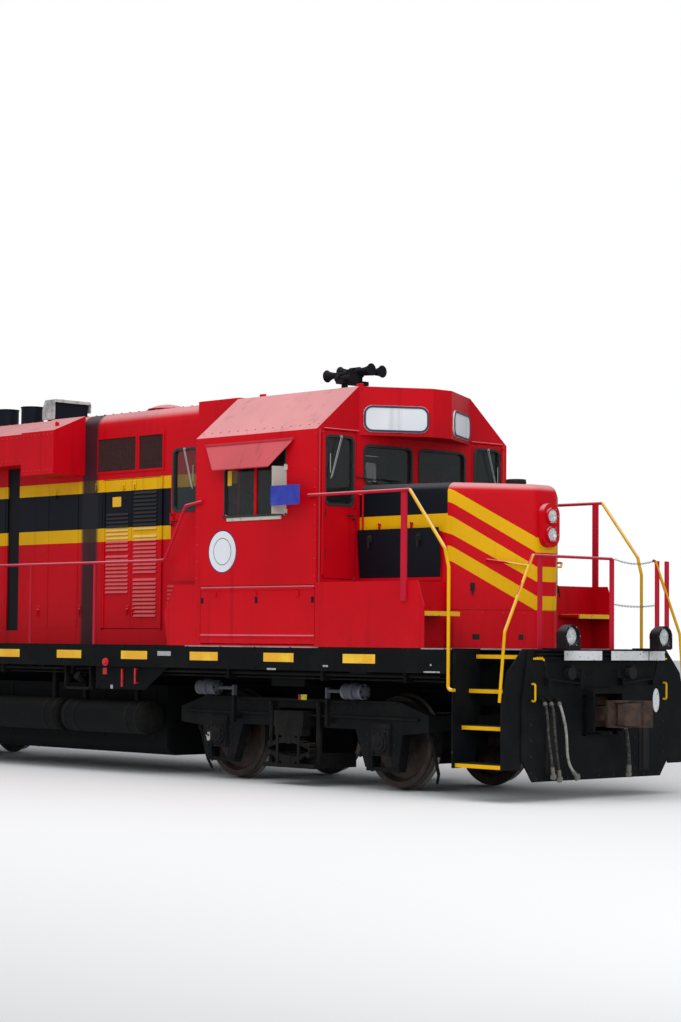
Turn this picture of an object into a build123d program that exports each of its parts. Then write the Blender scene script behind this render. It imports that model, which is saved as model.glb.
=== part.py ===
"""Four-axle road-switcher diesel locomotive with a low prow nose.

Millimetres. +X points to the short-nose end, +Y to the left side, +Z up.
The origin is the centre of the floor plane under the wheel flanges.
"""
from math import asin, atan2, cos, degrees, radians, sin, tan
import os

from build123d import *

os.makedirs("parts", exist_ok=True)

# Running gear
flange_height = 28
tread_radius = 508
wheel_width = 140
wheel_back_gap = 1356
axle_radius = 95
wheelbase = 2743
truck_spacing = 9448
axle_z = flange_height + tread_radius
truck_x = truck_spacing / 2

# Heights, taken above the rail and raised by the flange
rail_top = flange_height
deck_top = rail_top + 1554
sill_bottom = rail_top + 1287
cab_floor_top = rail_top + 2100
box_top = rail_top + 2270
eave_z = rail_top + 3985
roof_top = rail_top + 4510
hood_top = rail_top + 4520
coupler_z = rail_top + 876

# Widths and lengths
body_half = 1562
roof_half = 920
hood_half = 890
end_plate_x = 8250
end_plate_thick = 25
stair_x = 7585
stair_y = 1120
cab_rear_x = 3420
cab_front_x = 5510
cab_wall = 50
hood_wall = 25
hood_rear_x = -7450
nose_corner_x = 6920
prow_half = 162
prow_x = 7535
nose_top_rear = rail_top + 3390
nose_top_front = rail_top + 3350
coupler_face_x = 8850

# Clearances
seat_gap = 0.3
swing_gap = 8
pin_gap = 0.3

mirror_y = (1, -1)


def block(x, y, z, mode=Mode.ADD):
    """Rectangular piece between the pairs x, y and z."""
    with Locations(((x[0] + x[1]) / 2, (y[0] + y[1]) / 2, (z[0] + z[1]) / 2)):
        Box(x[1] - x[0], y[1] - y[0], z[1] - z[0], mode=mode)


def sides(side, low, high):
    """Pair of Y values between low and high from the centre line, on one side."""
    return tuple(sorted((side * low, side * high)))


def plate_xz(points, y, thick, mode=Mode.ADD):
    """Plate with its outline in X and Z, from y towards -Y by thick."""
    with BuildSketch(Plane.XZ.offset(-y)) as outline:
        with BuildLine():
            Polyline(*points, close=True)
        make_face()
    extrude(outline.sketch, amount=thick, mode=mode)


def plate_yz(points, x, thick, mode=Mode.ADD):
    """Plate with its outline in Y and Z, from x towards +X by thick."""
    with BuildSketch(Plane.YZ.offset(x)) as outline:
        with BuildLine():
            Polyline(*points, close=True)
        make_face()
    extrude(outline.sketch, amount=thick, mode=mode)


def plate_xy(points, z, thick, mode=Mode.ADD):
    """Plate with its outline in X and Y, from z upwards by thick."""
    with BuildSketch(Plane.XY.offset(z)) as outline:
        with BuildLine():
            Polyline(*points, close=True)
        make_face()
    extrude(outline.sketch, amount=thick, mode=mode)


def pipe(points, bend, radius):
    """Round bar that follows points with tangent bends."""
    with BuildLine() as route:
        if len(points) > 2:
            FilletPolyline(*points, radius=bend)
        else:
            Line(*points)
    with BuildSketch(Plane(origin=route.line @ 0, z_dir=route.line % 0)) as section:
        Circle(radius)
    sweep(section.sketch, path=route.line)


def upright(x, y, z, radius, mode=Mode.ADD):
    """Vertical round bar between the pair z."""
    with Locations((x, y, (z[0] + z[1]) / 2)):
        Cylinder(radius, z[1] - z[0], mode=mode)


def window_yz(y, z, x, corner):
    """Rounded opening through a cross wall that spans the pair x."""
    with BuildSketch(Plane.YZ.offset(x[0])) as opening:
        with Locations(((y[0] + y[1]) / 2, (z[0] + z[1]) / 2)):
            RectangleRounded(y[1] - y[0], z[1] - z[0], corner)
    extrude(opening.sketch, amount=x[1] - x[0], mode=Mode.SUBTRACT)


def window_xz(x, z, y, corner):
    """Rounded opening through a side wall that spans the pair y."""
    with BuildSketch(Plane.XZ.offset(-y[1])) as opening:
        with Locations(((x[0] + x[1]) / 2, (z[0] + z[1]) / 2)):
            RectangleRounded(x[1] - x[0], z[1] - z[0], corner)
    extrude(opening.sketch, amount=y[1] - y[0], mode=Mode.SUBTRACT)


def panel_yz(y, z, x, corner):
    """Upright plate with rounded corners that spans the pairs x, y and z."""
    with BuildSketch(Plane.YZ.offset(x[0])) as panel:
        with Locations(((y[0] + y[1]) / 2, (z[0] + z[1]) / 2)):
            RectangleRounded(y[1] - y[0], z[1] - z[0], corner)
    extrude(panel.sketch, amount=x[1] - x[0])


def panel_xz(x, z, y, corner):
    """Lengthwise plate with rounded corners that spans the pairs x, y and z."""
    with BuildSketch(Plane.XZ.offset(-y[1])) as panel:
        with Locations(((x[0] + x[1]) / 2, (z[0] + z[1]) / 2)):
            RectangleRounded(x[1] - x[0], z[1] - z[0], corner)
    extrude(panel.sketch, amount=y[1] - y[0])


def rows(low, high, pitch):
    """Heights from low to high in even steps near pitch."""
    count = int((high - low) / pitch)
    return [low + (high - low) * k / count for k in range(count)]


def louvres(x, z, face, side, pitch, depth):
    """Wedge-shaped lips between the pair x on a side face, one above the other over the pair z."""
    with BuildSketch(Plane.YZ.offset(x[0])) as lips:
        for low in rows(z[0], z[1], pitch):
            with BuildLine():
                Polyline((side * (face - 1), low), (side * (face + depth), low),
                         (side * (face + depth), low + 4),
                         (side * (face - 1), low + 0.7 * pitch), close=True)
            make_face()
    extrude(lips.sketch, amount=x[1] - x[0])


def mesh_panel(x, z, y, pitch, wire, thick):
    """Square mesh between the pairs x and z, from y towards -Y by thick."""
    width = x[1] - x[0]
    height = z[1] - z[0]
    columns = round(width / pitch)
    lines = round(height / pitch)
    with BuildSketch(Plane.XZ.offset(-y)) as mesh:
        with Locations(((x[0] + x[1]) / 2, (z[0] + z[1]) / 2)):
            Rectangle(width, height)
            with GridLocations(width / columns, height / lines, columns, lines):
                Rectangle(width / columns - wire, height / lines - wire, mode=Mode.SUBTRACT)
    extrude(mesh.sketch, amount=thick)


def save(shape, name):
    """Label a finished piece and write it."""
    shape.label = name
    export_step(shape, f"parts/{name}.step")


# Underframe: one welded section from stair to stair, narrower at the ends
deck_thick = 20
fascia_thick = 14
sill_flange = 90
centre_sill_y = 400
centre_web = 30
centre_flange = 220
centre_sill_bottom = rail_top + 1060
bolster_length = 560
bolster_half = 1250
bolster_bottom = rail_top + 1010
pin_radius = 180
pin_bottom = rail_top + 830
drop_plate_y = body_half - 62
jack_pad_x = 6200
jack_pad_length = 260
jack_pad_thick = 18
drop_outline = [(1470, sill_bottom + 10), (1470, rail_top + 1010), (2430, rail_top + 1010),
                (2870, sill_bottom + 10)]

with BuildPart() as underframe:
    for half, x in ((body_half, (-stair_x, stair_x)), (stair_y, (stair_x, end_plate_x)),
                    (stair_y, (-end_plate_x, -stair_x))):
        block(x, (-half, half), (deck_top - deck_thick, deck_top))
    for side in mirror_y:
        block((-stair_x, stair_x), sides(side, body_half - fascia_thick, body_half), (sill_bottom, deck_top))
        block((-stair_x, stair_x), sides(side, body_half - sill_flange, body_half),
              (sill_bottom, sill_bottom + fascia_thick))
        for end in (1, -1):
            web = sides(side, centre_sill_y - centre_web / 2, centre_sill_y + centre_web / 2)
            flange = sides(side, centre_sill_y - centre_flange / 2, centre_sill_y + centre_flange / 2)
            span = tuple(sorted((0, end * end_plate_x)))
            block(span, web, (centre_sill_bottom, deck_top))
            block(span, flange, (centre_sill_bottom, centre_sill_bottom + centre_web))
        plate_xz(drop_outline, side * (drop_plate_y + side * 7), 14)
        block((1500, 2800), sides(side, drop_plate_y, body_half - 2),
              (sill_bottom, sill_bottom + fascia_thick))
        for x in (-jack_pad_x, jack_pad_x):
            block((x - jack_pad_length / 2, x + jack_pad_length / 2),
                  sides(side, body_half - sill_flange + 5, body_half - 5),
                  (sill_bottom - jack_pad_thick, sill_bottom + 1))
    for end in (1, -1):
        bolster_x = (end * truck_x - bolster_length / 2, end * truck_x + bolster_length / 2)
        block(bolster_x, (-bolster_half, bolster_half), (bolster_bottom + 90, deck_top))
        with Locations((end * truck_x, 0, (pin_bottom + bolster_bottom + 95) / 2)):
            Cylinder(pin_radius, bolster_bottom + 95 - pin_bottom)
    for x in (-6900, -2900, -1450, 0, 1450, 2900, 6900):
        block((x - 12, x + 12), (-body_half + 5, body_half - 5), (sill_bottom, deck_top))
save(underframe.part, "underframe")

# Pilot: end plate with coupler opening, stairwells with four steps a side, and the fittings on the plate
pocket_half = 250
pocket_z = (coupler_z - 190, coupler_z + 200)
plate_bottom = rail_top + 180
plate_face_x = end_plate_x + seat_gap + end_plate_thick
step_reach = body_half - 22
step_rows = [(step_reach - 40, rail_top + 360), (step_reach - 140, rail_top + 750),
             (step_reach - 250, rail_top + 1130), (step_reach - 360, rail_top + 1490)]
step_depth = 270
step_thick = 26
step_lip = 40
stair_wall = 14
wall_foot = (rail_top + 310, rail_top + 900)
inner_wall_outline = [(stair_y + seat_gap, deck_top), (step_reach, deck_top), (step_reach, wall_foot[0]),
                      (step_reach - 330, wall_foot[0]), (stair_y + seat_gap, wall_foot[1])]
outer_wall_outline = [(stair_y + seat_gap, deck_top), (stair_y + 60, deck_top),
                      (step_reach - 120, rail_top + 1300),
                      (step_reach - 40, rail_top + 1000), (step_reach - 40,
                                                           wall_foot[0]), (step_reach - 330,
                                                                   wall_foot[0]),
                      (stair_y + seat_gap, wall_foot[1])]
end_outline = [(-stair_y, deck_top), (stair_y, deck_top), (stair_y + 100, rail_top + 1000),
               (stair_y + 100, rail_top + 420),
               (stair_y - 80, plate_bottom), (80 - stair_y, plate_bottom), (-stair_y - 100, rail_top + 420),
               (-stair_y - 100, rail_top + 1000)]
climber_reach = 90
climber_ribs = 3
striker_x = 8420
hose_radius = 15
brake_hose_radius = 22
# Columns: y and z of the pipe on the plate, hose radius
air_pipes = [(-945, 1060, hose_radius), (-845, 1060, hose_radius), (-720, 1060, hose_radius),
             (345, 785, brake_hose_radius)]
elbow = ((70, 0), (95, -35))

with BuildPart() as pilot:
    plate_yz(end_outline, end_plate_x + seat_gap, end_plate_thick)
    block((end_plate_x - 20, end_plate_x + 40), (-pocket_half, pocket_half), pocket_z, mode=Mode.SUBTRACT)
    for k in range(climber_ribs):
        low = deck_top - 22 - 40 * k
        block((plate_face_x - 1, end_plate_x + climber_reach - 15 * k), (100 - stair_y, stair_y - 100),
              (low, low + 22))
    block((plate_face_x - 1, striker_x), (-pocket_half, pocket_half), (pocket_z[1] + 10, pocket_z[1] + 60))
    for side in mirror_y:
        plate_yz([(side * y, z) for y, z in inner_wall_outline], stair_x + seat_gap, stair_wall)
        plate_yz([(side * y, z) for y, z in outer_wall_outline], end_plate_x - stair_wall + seat_gap,
                 stair_wall + 2)
        for y, z in step_rows:
            block((stair_x + seat_gap, end_plate_x), sides(side, y - step_depth, y), (z - step_thick, z))
            block((stair_x + seat_gap, end_plate_x), sides(side, y - 12, y), (z - step_lip, z))
        block((plate_face_x - 1, striker_x), sides(side, pocket_half - 30, pocket_half),
              (pocket_z[0], pocket_z[1] + 12))
        grab_y = side * (stair_y - 42)
        pipe([(plate_face_x - 1, grab_y, rail_top + 1017), (plate_face_x + 60, grab_y, rail_top + 1017),
              (plate_face_x + 60, grab_y, rail_top + 1193), (plate_face_x - 1, grab_y,
                      rail_top + 1193)], 20, 11)
        pipe([(plate_face_x + 50, side * 1090, rail_top + 1455), (plate_face_x + 50, side * 940,
                rail_top + 1455),
              (plate_face_x + 50, side * 880, rail_top + 1240), (plate_face_x + 50, side * 330,
                      rail_top + 1190)], 25, 11)
        for y in (860, 350):
            block((plate_face_x - 1, plate_face_x + 64), sides(side, y - 14, y + 14),
                  (rail_top + 1170, rail_top + 1250))
    for y, z, radius in air_pipes:
        pipe([(plate_face_x - 1, y, z), (end_plate_x + elbow[0][0], y, z + elbow[0][1]),
              (end_plate_x + elbow[1][0], y, z + elbow[1][1])], 18, radius + 4)
        block((plate_face_x - 1, plate_face_x + 12), (y - radius - 18, y + radius + 18),
              (z - radius - 12, z + radius + 12))
save(pilot.part, "pilot_front")
save(Rot(0, 0, 180) * pilot.part, "pilot_rear")

# Air hoses on the front plate, each hanging from its pipe to a cast coupling head
def smooth_route(points):
    """Tangent arcs as large as the two runs beside each corner allow."""
    radii = []
    for before, corner, after in zip(points, points[1:], points[2:]):
        arrive = Vector(*corner) - Vector(*before)
        leave = Vector(*after) - Vector(*corner)
        half_turn = radians(arrive.get_angle(leave)) / 2
        radii.append(0.45 * min(arrive.length, leave.length) / tan(half_turn))
    return radii


exit_x = end_plate_x + elbow[1][0]
hoses = [
    ("hose_outer", hose_radius, [(exit_x, -945, 1025), (8365, -945, 997), (8376, -943, 940),
                                 (8379, -934, 840), (8373, -915, 700),
                                 (8366, -884, 560), (8358, -848, 430), (8351, -818, 320)]),
    ("hose_middle", hose_radius, [(exit_x, -845, 1025), (8365, -845, 997), (8377, -842, 938),
                                  (8380, -832, 825), (8374, -808, 670),
                                  (8366, -776, 520), (8357, -742, 390), (8350, -716, 290)]),
    ("hose_inner", hose_radius, [(exit_x, -720, 1025), (8365, -720, 997), (8380, -712, 945),
                                 (8388, -690, 868), (8392, -661, 760),
                                 (8390, -645, 640), (8388, -637, 520), (8384, -612, 420), (8378, -562,
                                         340), (8371, -492, 284)]),
    ("brake_hose", brake_hose_radius, [(exit_x, 345, 750), (8365, 345, 722), (8378, 349, 668),
                                       (8384, 358, 580), (8385, 368, 480),
                                       (8381, 378, 390), (8375, 386, 310)]),
]
head_length = 46
head_radius = 36
head_thick = 34
for name, radius, route in hoses:
    with BuildPart() as hose:
        with BuildLine() as path:
            FilletPolyline(*route, radius=smooth_route(route))
        with BuildSketch(Plane(origin=path.line @ 0, z_dir=path.line % 0)) as section:
            Circle(radius)
        sweep(section.sketch, path=path.line)
    length = hose.part.volume / section.sketch.area
    print(name, "length", round(length), "arc radii", [round(radius) for radius in smooth_route(route)])
    save(hose.part, name)
with BuildPart() as glad_hands:
    for name, radius, route in hoses:
        end = Vector(*route[-1])
        down = (end - Vector(*route[-2])).normalized()
        with Locations(Location(Plane(origin=end + down * head_length / 2, z_dir=down))):
            Cylinder(radius + 5, head_length)
        with Locations(Location(Plane(origin=end + down * (head_length + head_radius - 8), z_dir=(1, 0, 0)))):
            Cylinder(head_radius, head_thick)
            with Locations((0, -head_radius * 0.6, 0)):
                Box(head_radius * 1.3, head_radius, head_thick * 0.7)
save(glad_hands.part, "glad_hands")

# Draft gear: yoke housings that hang between the centre sills and carry the coupler pins
coupler_pin_x = 7990
coupler_pin_radius = 45
shank_half_y = 80
shank_half_z = 75
housing_half = centre_sill_y - centre_flange / 2 - 30
with BuildPart() as draft_gear:
    for end in (1, -1):
        for z in ((coupler_z + shank_half_z + swing_gap, deck_top - deck_thick - seat_gap),
                  (coupler_z - 150, coupler_z - shank_half_z - swing_gap)):
            block(tuple(sorted((end * 7700, end * 8200))), (-housing_half, housing_half), z)
        block(tuple(sorted((end * 7600, end * 7700))), (-housing_half, housing_half),
              (coupler_z - 150, deck_top - deck_thick - seat_gap))
        upright(end * coupler_pin_x, 0, (coupler_z - 140, coupler_z + 140), coupler_pin_radius)
save(draft_gear.part, "draft_gear")

# Couplers: shank, head with guard arm, and the pivoting knuckle
head_back_x = 8500
head_half_z = 140
knuckle_pin = (8700, -120)
knuckle_pin_radius = 22
knuckle_half_z = 115
head_outline = [(head_back_x, -150), (8560, -185), (8745, -185), (8745, -60), (8680, -30), (8680, 60),
                (8760, 120),
                (coupler_face_x - 60, 130), (coupler_face_x - 20, 230), (8700, 220), (8560,
                        170), (head_back_x, 110)]
knuckle_outline = [(8690, -170), (8790, -178), (coupler_face_x - 10, -130), (coupler_face_x, -60),
                   (8835, 20), (8790, 40),
                   (8770, -20), (8700, -55), (8660, -80), (8660, -150)]
with BuildPart() as coupler:
    block((coupler_pin_x, head_back_x + 20), (-shank_half_y, shank_half_y),
          (coupler_z - shank_half_z, coupler_z + shank_half_z))
    upright(coupler_pin_x, 0, (coupler_z - shank_half_z, coupler_z + shank_half_z), shank_half_y)
    plate_xy(head_outline, coupler_z - head_half_z, 2 * head_half_z)
    block((8640, 8900), (-200, 60), (coupler_z - knuckle_half_z - swing_gap,
                                     coupler_z + knuckle_half_z + swing_gap), mode=Mode.SUBTRACT)
    upright(coupler_pin_x, 0, (coupler_z - 200, coupler_z + 200), coupler_pin_radius + pin_gap,
            mode=Mode.SUBTRACT)
    upright(*knuckle_pin, (coupler_z - head_half_z, coupler_z + head_half_z), knuckle_pin_radius)
with BuildPart() as knuckle:
    plate_xy(knuckle_outline, coupler_z - knuckle_half_z, 2 * knuckle_half_z)
    upright(*knuckle_pin, (coupler_z - 200, coupler_z + 200), knuckle_pin_radius + pin_gap,
            mode=Mode.SUBTRACT)
for end_name, turn in (("front", 0), ("rear", 180)):
    save(Rot(0, 0, turn) * coupler.part, f"coupler_{end_name}")
    save(Rot(0, 0, turn) * knuckle.part, f"knuckle_{end_name}")

# Fuel tank and main air reservoirs
tank_half_x = 2250
tank_half_y = 1000
tank_z = (rail_top + 200, centre_sill_bottom - seat_gap)
reservoir_radius = 205
reservoir_y = body_half - 302
reservoir_z = rail_top + 665
reservoir_spans = [(-2300, 560), (700, 2250)]
with BuildPart() as fuel_tank:
    block((-tank_half_x, tank_half_x), (-tank_half_y, tank_half_y), tank_z)
    fillet(fuel_tank.edges().filter_by(Axis.X).group_by(Axis.Z)[0], radius=140)
save(fuel_tank.part, "fuel_tank")
with BuildPart() as air_reservoirs:
    for side in mirror_y:
        for span in reservoir_spans:
            with Locations(Location(((span[0] + span[1]) / 2, side * reservoir_y, reservoir_z), (0, 90, 0))):
                Cylinder(reservoir_radius, span[1] - span[0])
            for x in (span[0] + 250, span[1] - 250):
                block((x - 30, x + 30), sides(side, tank_half_y + seat_gap, reservoir_y),
                      (reservoir_z - 20, reservoir_z + 20))
                block((x - 30, x + 30), sides(side, reservoir_y - 30, reservoir_y + 30),
                      (reservoir_z, sill_bottom - 2))
                block((x - 30, x + 30), sides(side, reservoir_y - 30, drop_plate_y - 20),
                      (sill_bottom - 20 - seat_gap, sill_bottom - seat_gap))
save(air_reservoirs.part, "air_reservoirs")

# Battery boxes along the cab and nose, each with a hinged cover and its end steps
box_wall = 12
box_front_x = 6850
box_inner_y = hood_half + 10
box_rear_wall_x = 3440
side_plate_front = [(box_front_x - 20, box_top), (7097, box_top), (7193, rail_top + 2004),
                    (7193, deck_top), (box_front_x - 20, deck_top)]
side_plate_rear = [(cab_rear_x + 30, box_top), (3033, box_top), (2852, rail_top + 1936), (2925, deck_top),
                   (cab_rear_x + 30, deck_top)]
cover_x = (3530, 5490)
cover_z = (deck_top + 40, rail_top + 2237)
cover_thick = 22
cover_hinge_y = body_half - 10
cover_hinge_z = cover_z[0] - 6
hinge_radius = 9
latch_x = (3800, 4500, 5220)
tread_z = rail_top + 1940

with BuildPart() as battery_boxes:
    for side in mirror_y:
        block((box_rear_wall_x, box_front_x), sides(side, box_inner_y, body_half),
              (deck_top + seat_gap, box_top))
        block((box_rear_wall_x + box_wall, box_front_x - box_wall), sides(side, box_inner_y + box_wall,
                body_half - box_wall),
              (deck_top + box_wall, box_top - box_wall), mode=Mode.SUBTRACT)
        block((cover_x[0] - swing_gap, cover_x[1] + swing_gap), sides(side, body_half - 30, body_half + 1),
              (cover_z[0] - 24, cover_z[1] + swing_gap), mode=Mode.SUBTRACT)
        for outline in (side_plate_front, side_plate_rear):
            plate_xz([(x, max(z, deck_top + seat_gap)) for x, z in outline],
                     side * (body_half - box_wall / 2) + box_wall / 2, box_wall)
        block((box_front_x - 5, 7150), sides(side, box_inner_y + 80, body_half - box_wall / 2),
              (tread_z - 30, tread_z))
        block((2960, box_rear_wall_x + 5), sides(side, box_inner_y + 100, body_half - box_wall / 2),
              (tread_z - 30, tread_z))
        for x in ((cover_x[0] - 20, cover_x[0] - seat_gap), (cover_x[1] + seat_gap, cover_x[1] + 20)):
            block(x, sides(side, body_half - 30, body_half), (cover_z[0] - 26, cover_z[0] + 20))
save(battery_boxes.part, "battery_boxes")
with BuildPart() as batteries:
    for side in mirror_y:
        block((3700, 5300), sides(side, box_inner_y + 120, body_half - 120),
              (deck_top + box_wall + seat_gap, rail_top + 2050))
save(batteries.part, "batteries")
for side, side_name in ((-1, "right"), (1, "left")):
    with BuildPart() as battery_cover:
        block(cover_x, sides(side, body_half - cover_thick, body_half), (cover_hinge_z, cover_z[1]))
        with Locations(Location(((cover_x[0] + cover_x[1]) / 2, side * cover_hinge_y, cover_hinge_z),
                                (0, 90, 0))):
            Cylinder(hinge_radius, cover_x[1] - cover_x[0])
        for z in (cover_z[0] + 75, cover_z[1] - 30):
            block((cover_x[0] + 10, cover_x[1] - 10), sides(side, body_half - 1, body_half + 8),
                  (z - 12, z + 12))
        for x in latch_x:
            block((x - 18, x + 18), sides(side, body_half - 1, body_half + 14),
                  (cover_z[1] - 120, cover_z[1] - 60))
    save(battery_cover.part, f"battery_cover_{side_name}")

# Cab floor, walls, roof
cab_inner = body_half - cab_wall
floor_thick = 60
cab_base = box_top + seat_gap
with BuildPart() as cab_floor:
    block((cab_rear_x + cab_wall + seat_gap, cab_front_x - cab_wall - seat_gap),
          (-box_inner_y + 20, box_inner_y - 20), (cab_floor_top - floor_thick, cab_floor_top))
    block((cab_rear_x + cab_wall + seat_gap, cab_front_x - cab_wall - seat_gap),
          (-box_inner_y + 20, box_inner_y - 20), (deck_top + seat_gap, deck_top + floor_thick))
    for x in (cab_rear_x + 300, cab_front_x - 300):
        block((x - 30, x + 30), (-box_inner_y + 30, box_inner_y - 30), (deck_top + 10, cab_floor_top - 10))
    for side in mirror_y:
        block((cab_rear_x + cab_wall + seat_gap, cab_front_x - cab_wall - seat_gap),
              sides(side, box_inner_y - 25, cab_inner - seat_gap), (box_top + seat_gap, box_top + 30))
save(cab_floor.part, "cab_floor")

side_window_x = (3946, 4988)
side_window_z = (rail_top + 3053, rail_top + 3780)
for side, side_name in ((-1, "right"), (1, "left")):
    with BuildPart() as cab_side:
        block((cab_rear_x, cab_front_x), sides(side, cab_inner, body_half), (box_top + seat_gap, eave_z))
        window_xz(side_window_x, side_window_z, sides(side, cab_inner - 5, body_half + 5), 40)
        mid_x = sum(side_window_x) / 2
        block((mid_x - 22, mid_x + 22), sides(side, cab_inner + 10, body_half - 10), side_window_z)
    save(cab_side.part, f"cab_side_{side_name}")

roof_outline = [(-body_half, eave_z + seat_gap), (-roof_half, roof_top), (roof_half, roof_top),
                (body_half, eave_z + seat_gap)]
housing_depth = 430
housing_flat = 155
housing_half_y = roof_half - 7
housing_bottom = rail_top + 3954
with BuildPart() as cab_roof:
    plate_yz(roof_outline, cab_rear_x, cab_front_x - cab_rear_x)
    inner = [(-cab_inner, eave_z - 5), (-cab_inner, eave_z + seat_gap),
             (-roof_half + 20, roof_top - cab_wall), (roof_half - 20, roof_top - cab_wall), (cab_inner,
                     eave_z + seat_gap), (cab_inner, eave_z - 5)]
    plate_yz(inner, cab_rear_x - 5, cab_front_x - cab_rear_x + 10, mode=Mode.SUBTRACT)
    plate_xy([(cab_front_x + seat_gap, -housing_half_y), (cab_front_x + housing_depth, -housing_flat),
              (cab_front_x + housing_depth, housing_flat), (cab_front_x + seat_gap, housing_half_y)],
             housing_bottom, roof_top - housing_bottom)
    block((cab_front_x - 20, cab_front_x + 20), (-roof_half + 30, roof_half - 30),
          (roof_top - cab_wall, roof_top))
save(cab_roof.part, "cab_roof")

# Cross walls of the cab
gable = [(-cab_inner + seat_gap, cab_base), (-cab_inner + seat_gap, eave_z),
         (-roof_half + 20, roof_top - cab_wall - seat_gap),
         (roof_half - 20, roof_top - cab_wall - seat_gap), (cab_inner - seat_gap,
                                                            eave_z), (cab_inner - seat_gap, cab_base)]
front_door_y = (hood_half + 60, body_half - 82)
front_door_z = (box_top + 40, rail_top + 3985)
rear_door_y = (hood_half + 30, body_half - 82)
rear_door_z = (box_top + 40, rail_top + 3960)
door_corner = 60
door_thick = 40
door_window_corner = 55
latch_z = rail_top + 3000
hinge_offset = 14
front_windows = [(73 - hood_half, -71), (71, hood_half - 73)]
front_window_z = (rail_top + 3419, rail_top + 3835)
with BuildPart() as cab_front_wall:
    plate_yz(gable, cab_front_x - cab_wall, cab_wall)
    block((cab_front_x - cab_wall, cab_front_x), (-box_inner_y + 20, box_inner_y - 20),
          (deck_top + seat_gap, cab_base + 10))
    for y in front_windows:
        window_yz(y, front_window_z, (cab_front_x - cab_wall - 5, cab_front_x + 5), 60)
    for side in mirror_y:
        window_yz(sides(side, *front_door_y), front_door_z, (cab_front_x - cab_wall - 5, cab_front_x + 5),
                  door_corner)
        for z in (front_door_z[0] + 40 - seat_gap, front_door_z[1] - 60 + seat_gap):
            block((cab_front_x - 5, cab_front_x + hinge_offset + 8), sides(side, front_door_y[1] + 1,
                    front_door_y[1] + 16), (z, z + 20))
save(cab_front_wall.part, "cab_front_wall")
with BuildPart() as cab_rear_wall:
    plate_yz(gable, cab_rear_x, cab_wall)
    block((cab_rear_x, cab_rear_x + cab_wall), (-box_inner_y + 20, box_inner_y - 20),
          (deck_top + seat_gap, cab_base + 10))
    for side in mirror_y:
        window_yz(sides(side, *rear_door_y), rear_door_z, (cab_rear_x - 5, cab_rear_x + cab_wall + 5),
                  door_corner)
        for z in (rear_door_z[0] + 40 - seat_gap, rear_door_z[1] - 60 + seat_gap):
            block((cab_rear_x - hinge_offset - 8, cab_rear_x + 5), sides(side, rear_door_y[1] + 1,
                    rear_door_y[1] + 16), (z, z + 20))
save(cab_rear_wall.part, "cab_rear_wall")

# Four cab doors; the right rear one stands open against the hood
doors = [
    ("cab_door_front_right", cab_front_x, 1, -1, front_door_y, front_door_z,
     (rail_top + 3155, front_door_z[1] - 20), 0),
    ("cab_door_front_left", cab_front_x, 1, 1, front_door_y, front_door_z,
     (rail_top + 3155, front_door_z[1] - 20), 0),
    ("cab_door_rear_right", cab_rear_x, -1, -1, rear_door_y, rear_door_z,
     (rail_top + 3165, rear_door_z[1] - 20), 90),
    ("cab_door_rear_left", cab_rear_x, -1, 1, rear_door_y, rear_door_z,
     (rail_top + 3165, rear_door_z[1] - 20), 0),
]
for name, wall_x, out, side, door_y, door_z, glass_z, open_angle in doors:
    leaf_z = (door_z[0] + swing_gap, door_z[1] - swing_gap)
    leaf_x = tuple(sorted((wall_x + out * 2, wall_x - out * (door_thick - 2))))
    hinge = (wall_x + out * hinge_offset, side * (door_y[1] + 4))
    with BuildPart() as cab_door:
        panel_yz(sides(side, door_y[0] + swing_gap, door_y[1] - swing_gap), leaf_z, leaf_x,
                 door_corner - swing_gap)
        window_yz(sides(side, door_y[0] + 60, door_y[1] - 60), (glass_z[0], glass_z[1] - 60),
                  (leaf_x[0] - 5, leaf_x[1] + 5), door_window_corner)
        upright(*hinge, (door_z[0] + 60, door_z[1] - 60), 10)
        free_edge = door_y[0] + swing_gap
        face_x = wall_x + out * 2
        block(tuple(sorted((face_x - out, face_x + out * 26))),
              sides(side, free_edge + 12, free_edge + 62), (latch_z, latch_z + 130))
        block(tuple(sorted((wall_x + out * 1, wall_x + out * (hinge_offset + 8)))),
              sides(side, door_y[1] - 30, door_y[1] + 4), (door_z[0] + 60, door_z[1] - 60))
    leaf = cab_door.part
    if open_angle:
        leaf = leaf.rotate(Axis((hinge[0], hinge[1], 0), (0, 0, 1)), side * out * open_angle)
    save(leaf, name)

# Glass panes, seats and control stand
glass_thick = 8
with BuildPart() as cab_glass:
    mid_x = sum(side_window_x) / 2
    for side in mirror_y:
        for x in ((side_window_x[0] + seat_gap, mid_x - 22 - seat_gap),
                  (mid_x + 22 + seat_gap, side_window_x[1] - seat_gap)):
            panel_xz(x, (side_window_z[0] + seat_gap, side_window_z[1] - seat_gap),
                     sides(side, cab_inner + 20, cab_inner + 20 + glass_thick), 40)
    for y in front_windows:
        panel_yz((y[0] + seat_gap, y[1] - seat_gap), (front_window_z[0] + seat_gap,
                                                      front_window_z[1] - seat_gap), (cab_front_x - 30,
                                                              cab_front_x - 30 + glass_thick), 60)
save(cab_glass.part, "cab_glass")
seat_y = (hood_half + 120, body_half - 112)
with BuildPart() as cab_furniture:
    for side in mirror_y:
        floor = box_top + 30
        upright(4350, side * sum(seat_y) / 2, (floor + seat_gap, floor + 320), 55)
        block((4130, 4590), sides(side, *seat_y), (floor + 300, floor + 400))
        block((4060, 4150), sides(side, *seat_y), (floor + 330, floor + 950))
    block((4750, 5200), (50 - hood_half, 470 - hood_half), (cab_floor_top + seat_gap, cab_floor_top + 1150))
save(cab_furniture.part, "cab_furniture")

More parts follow.
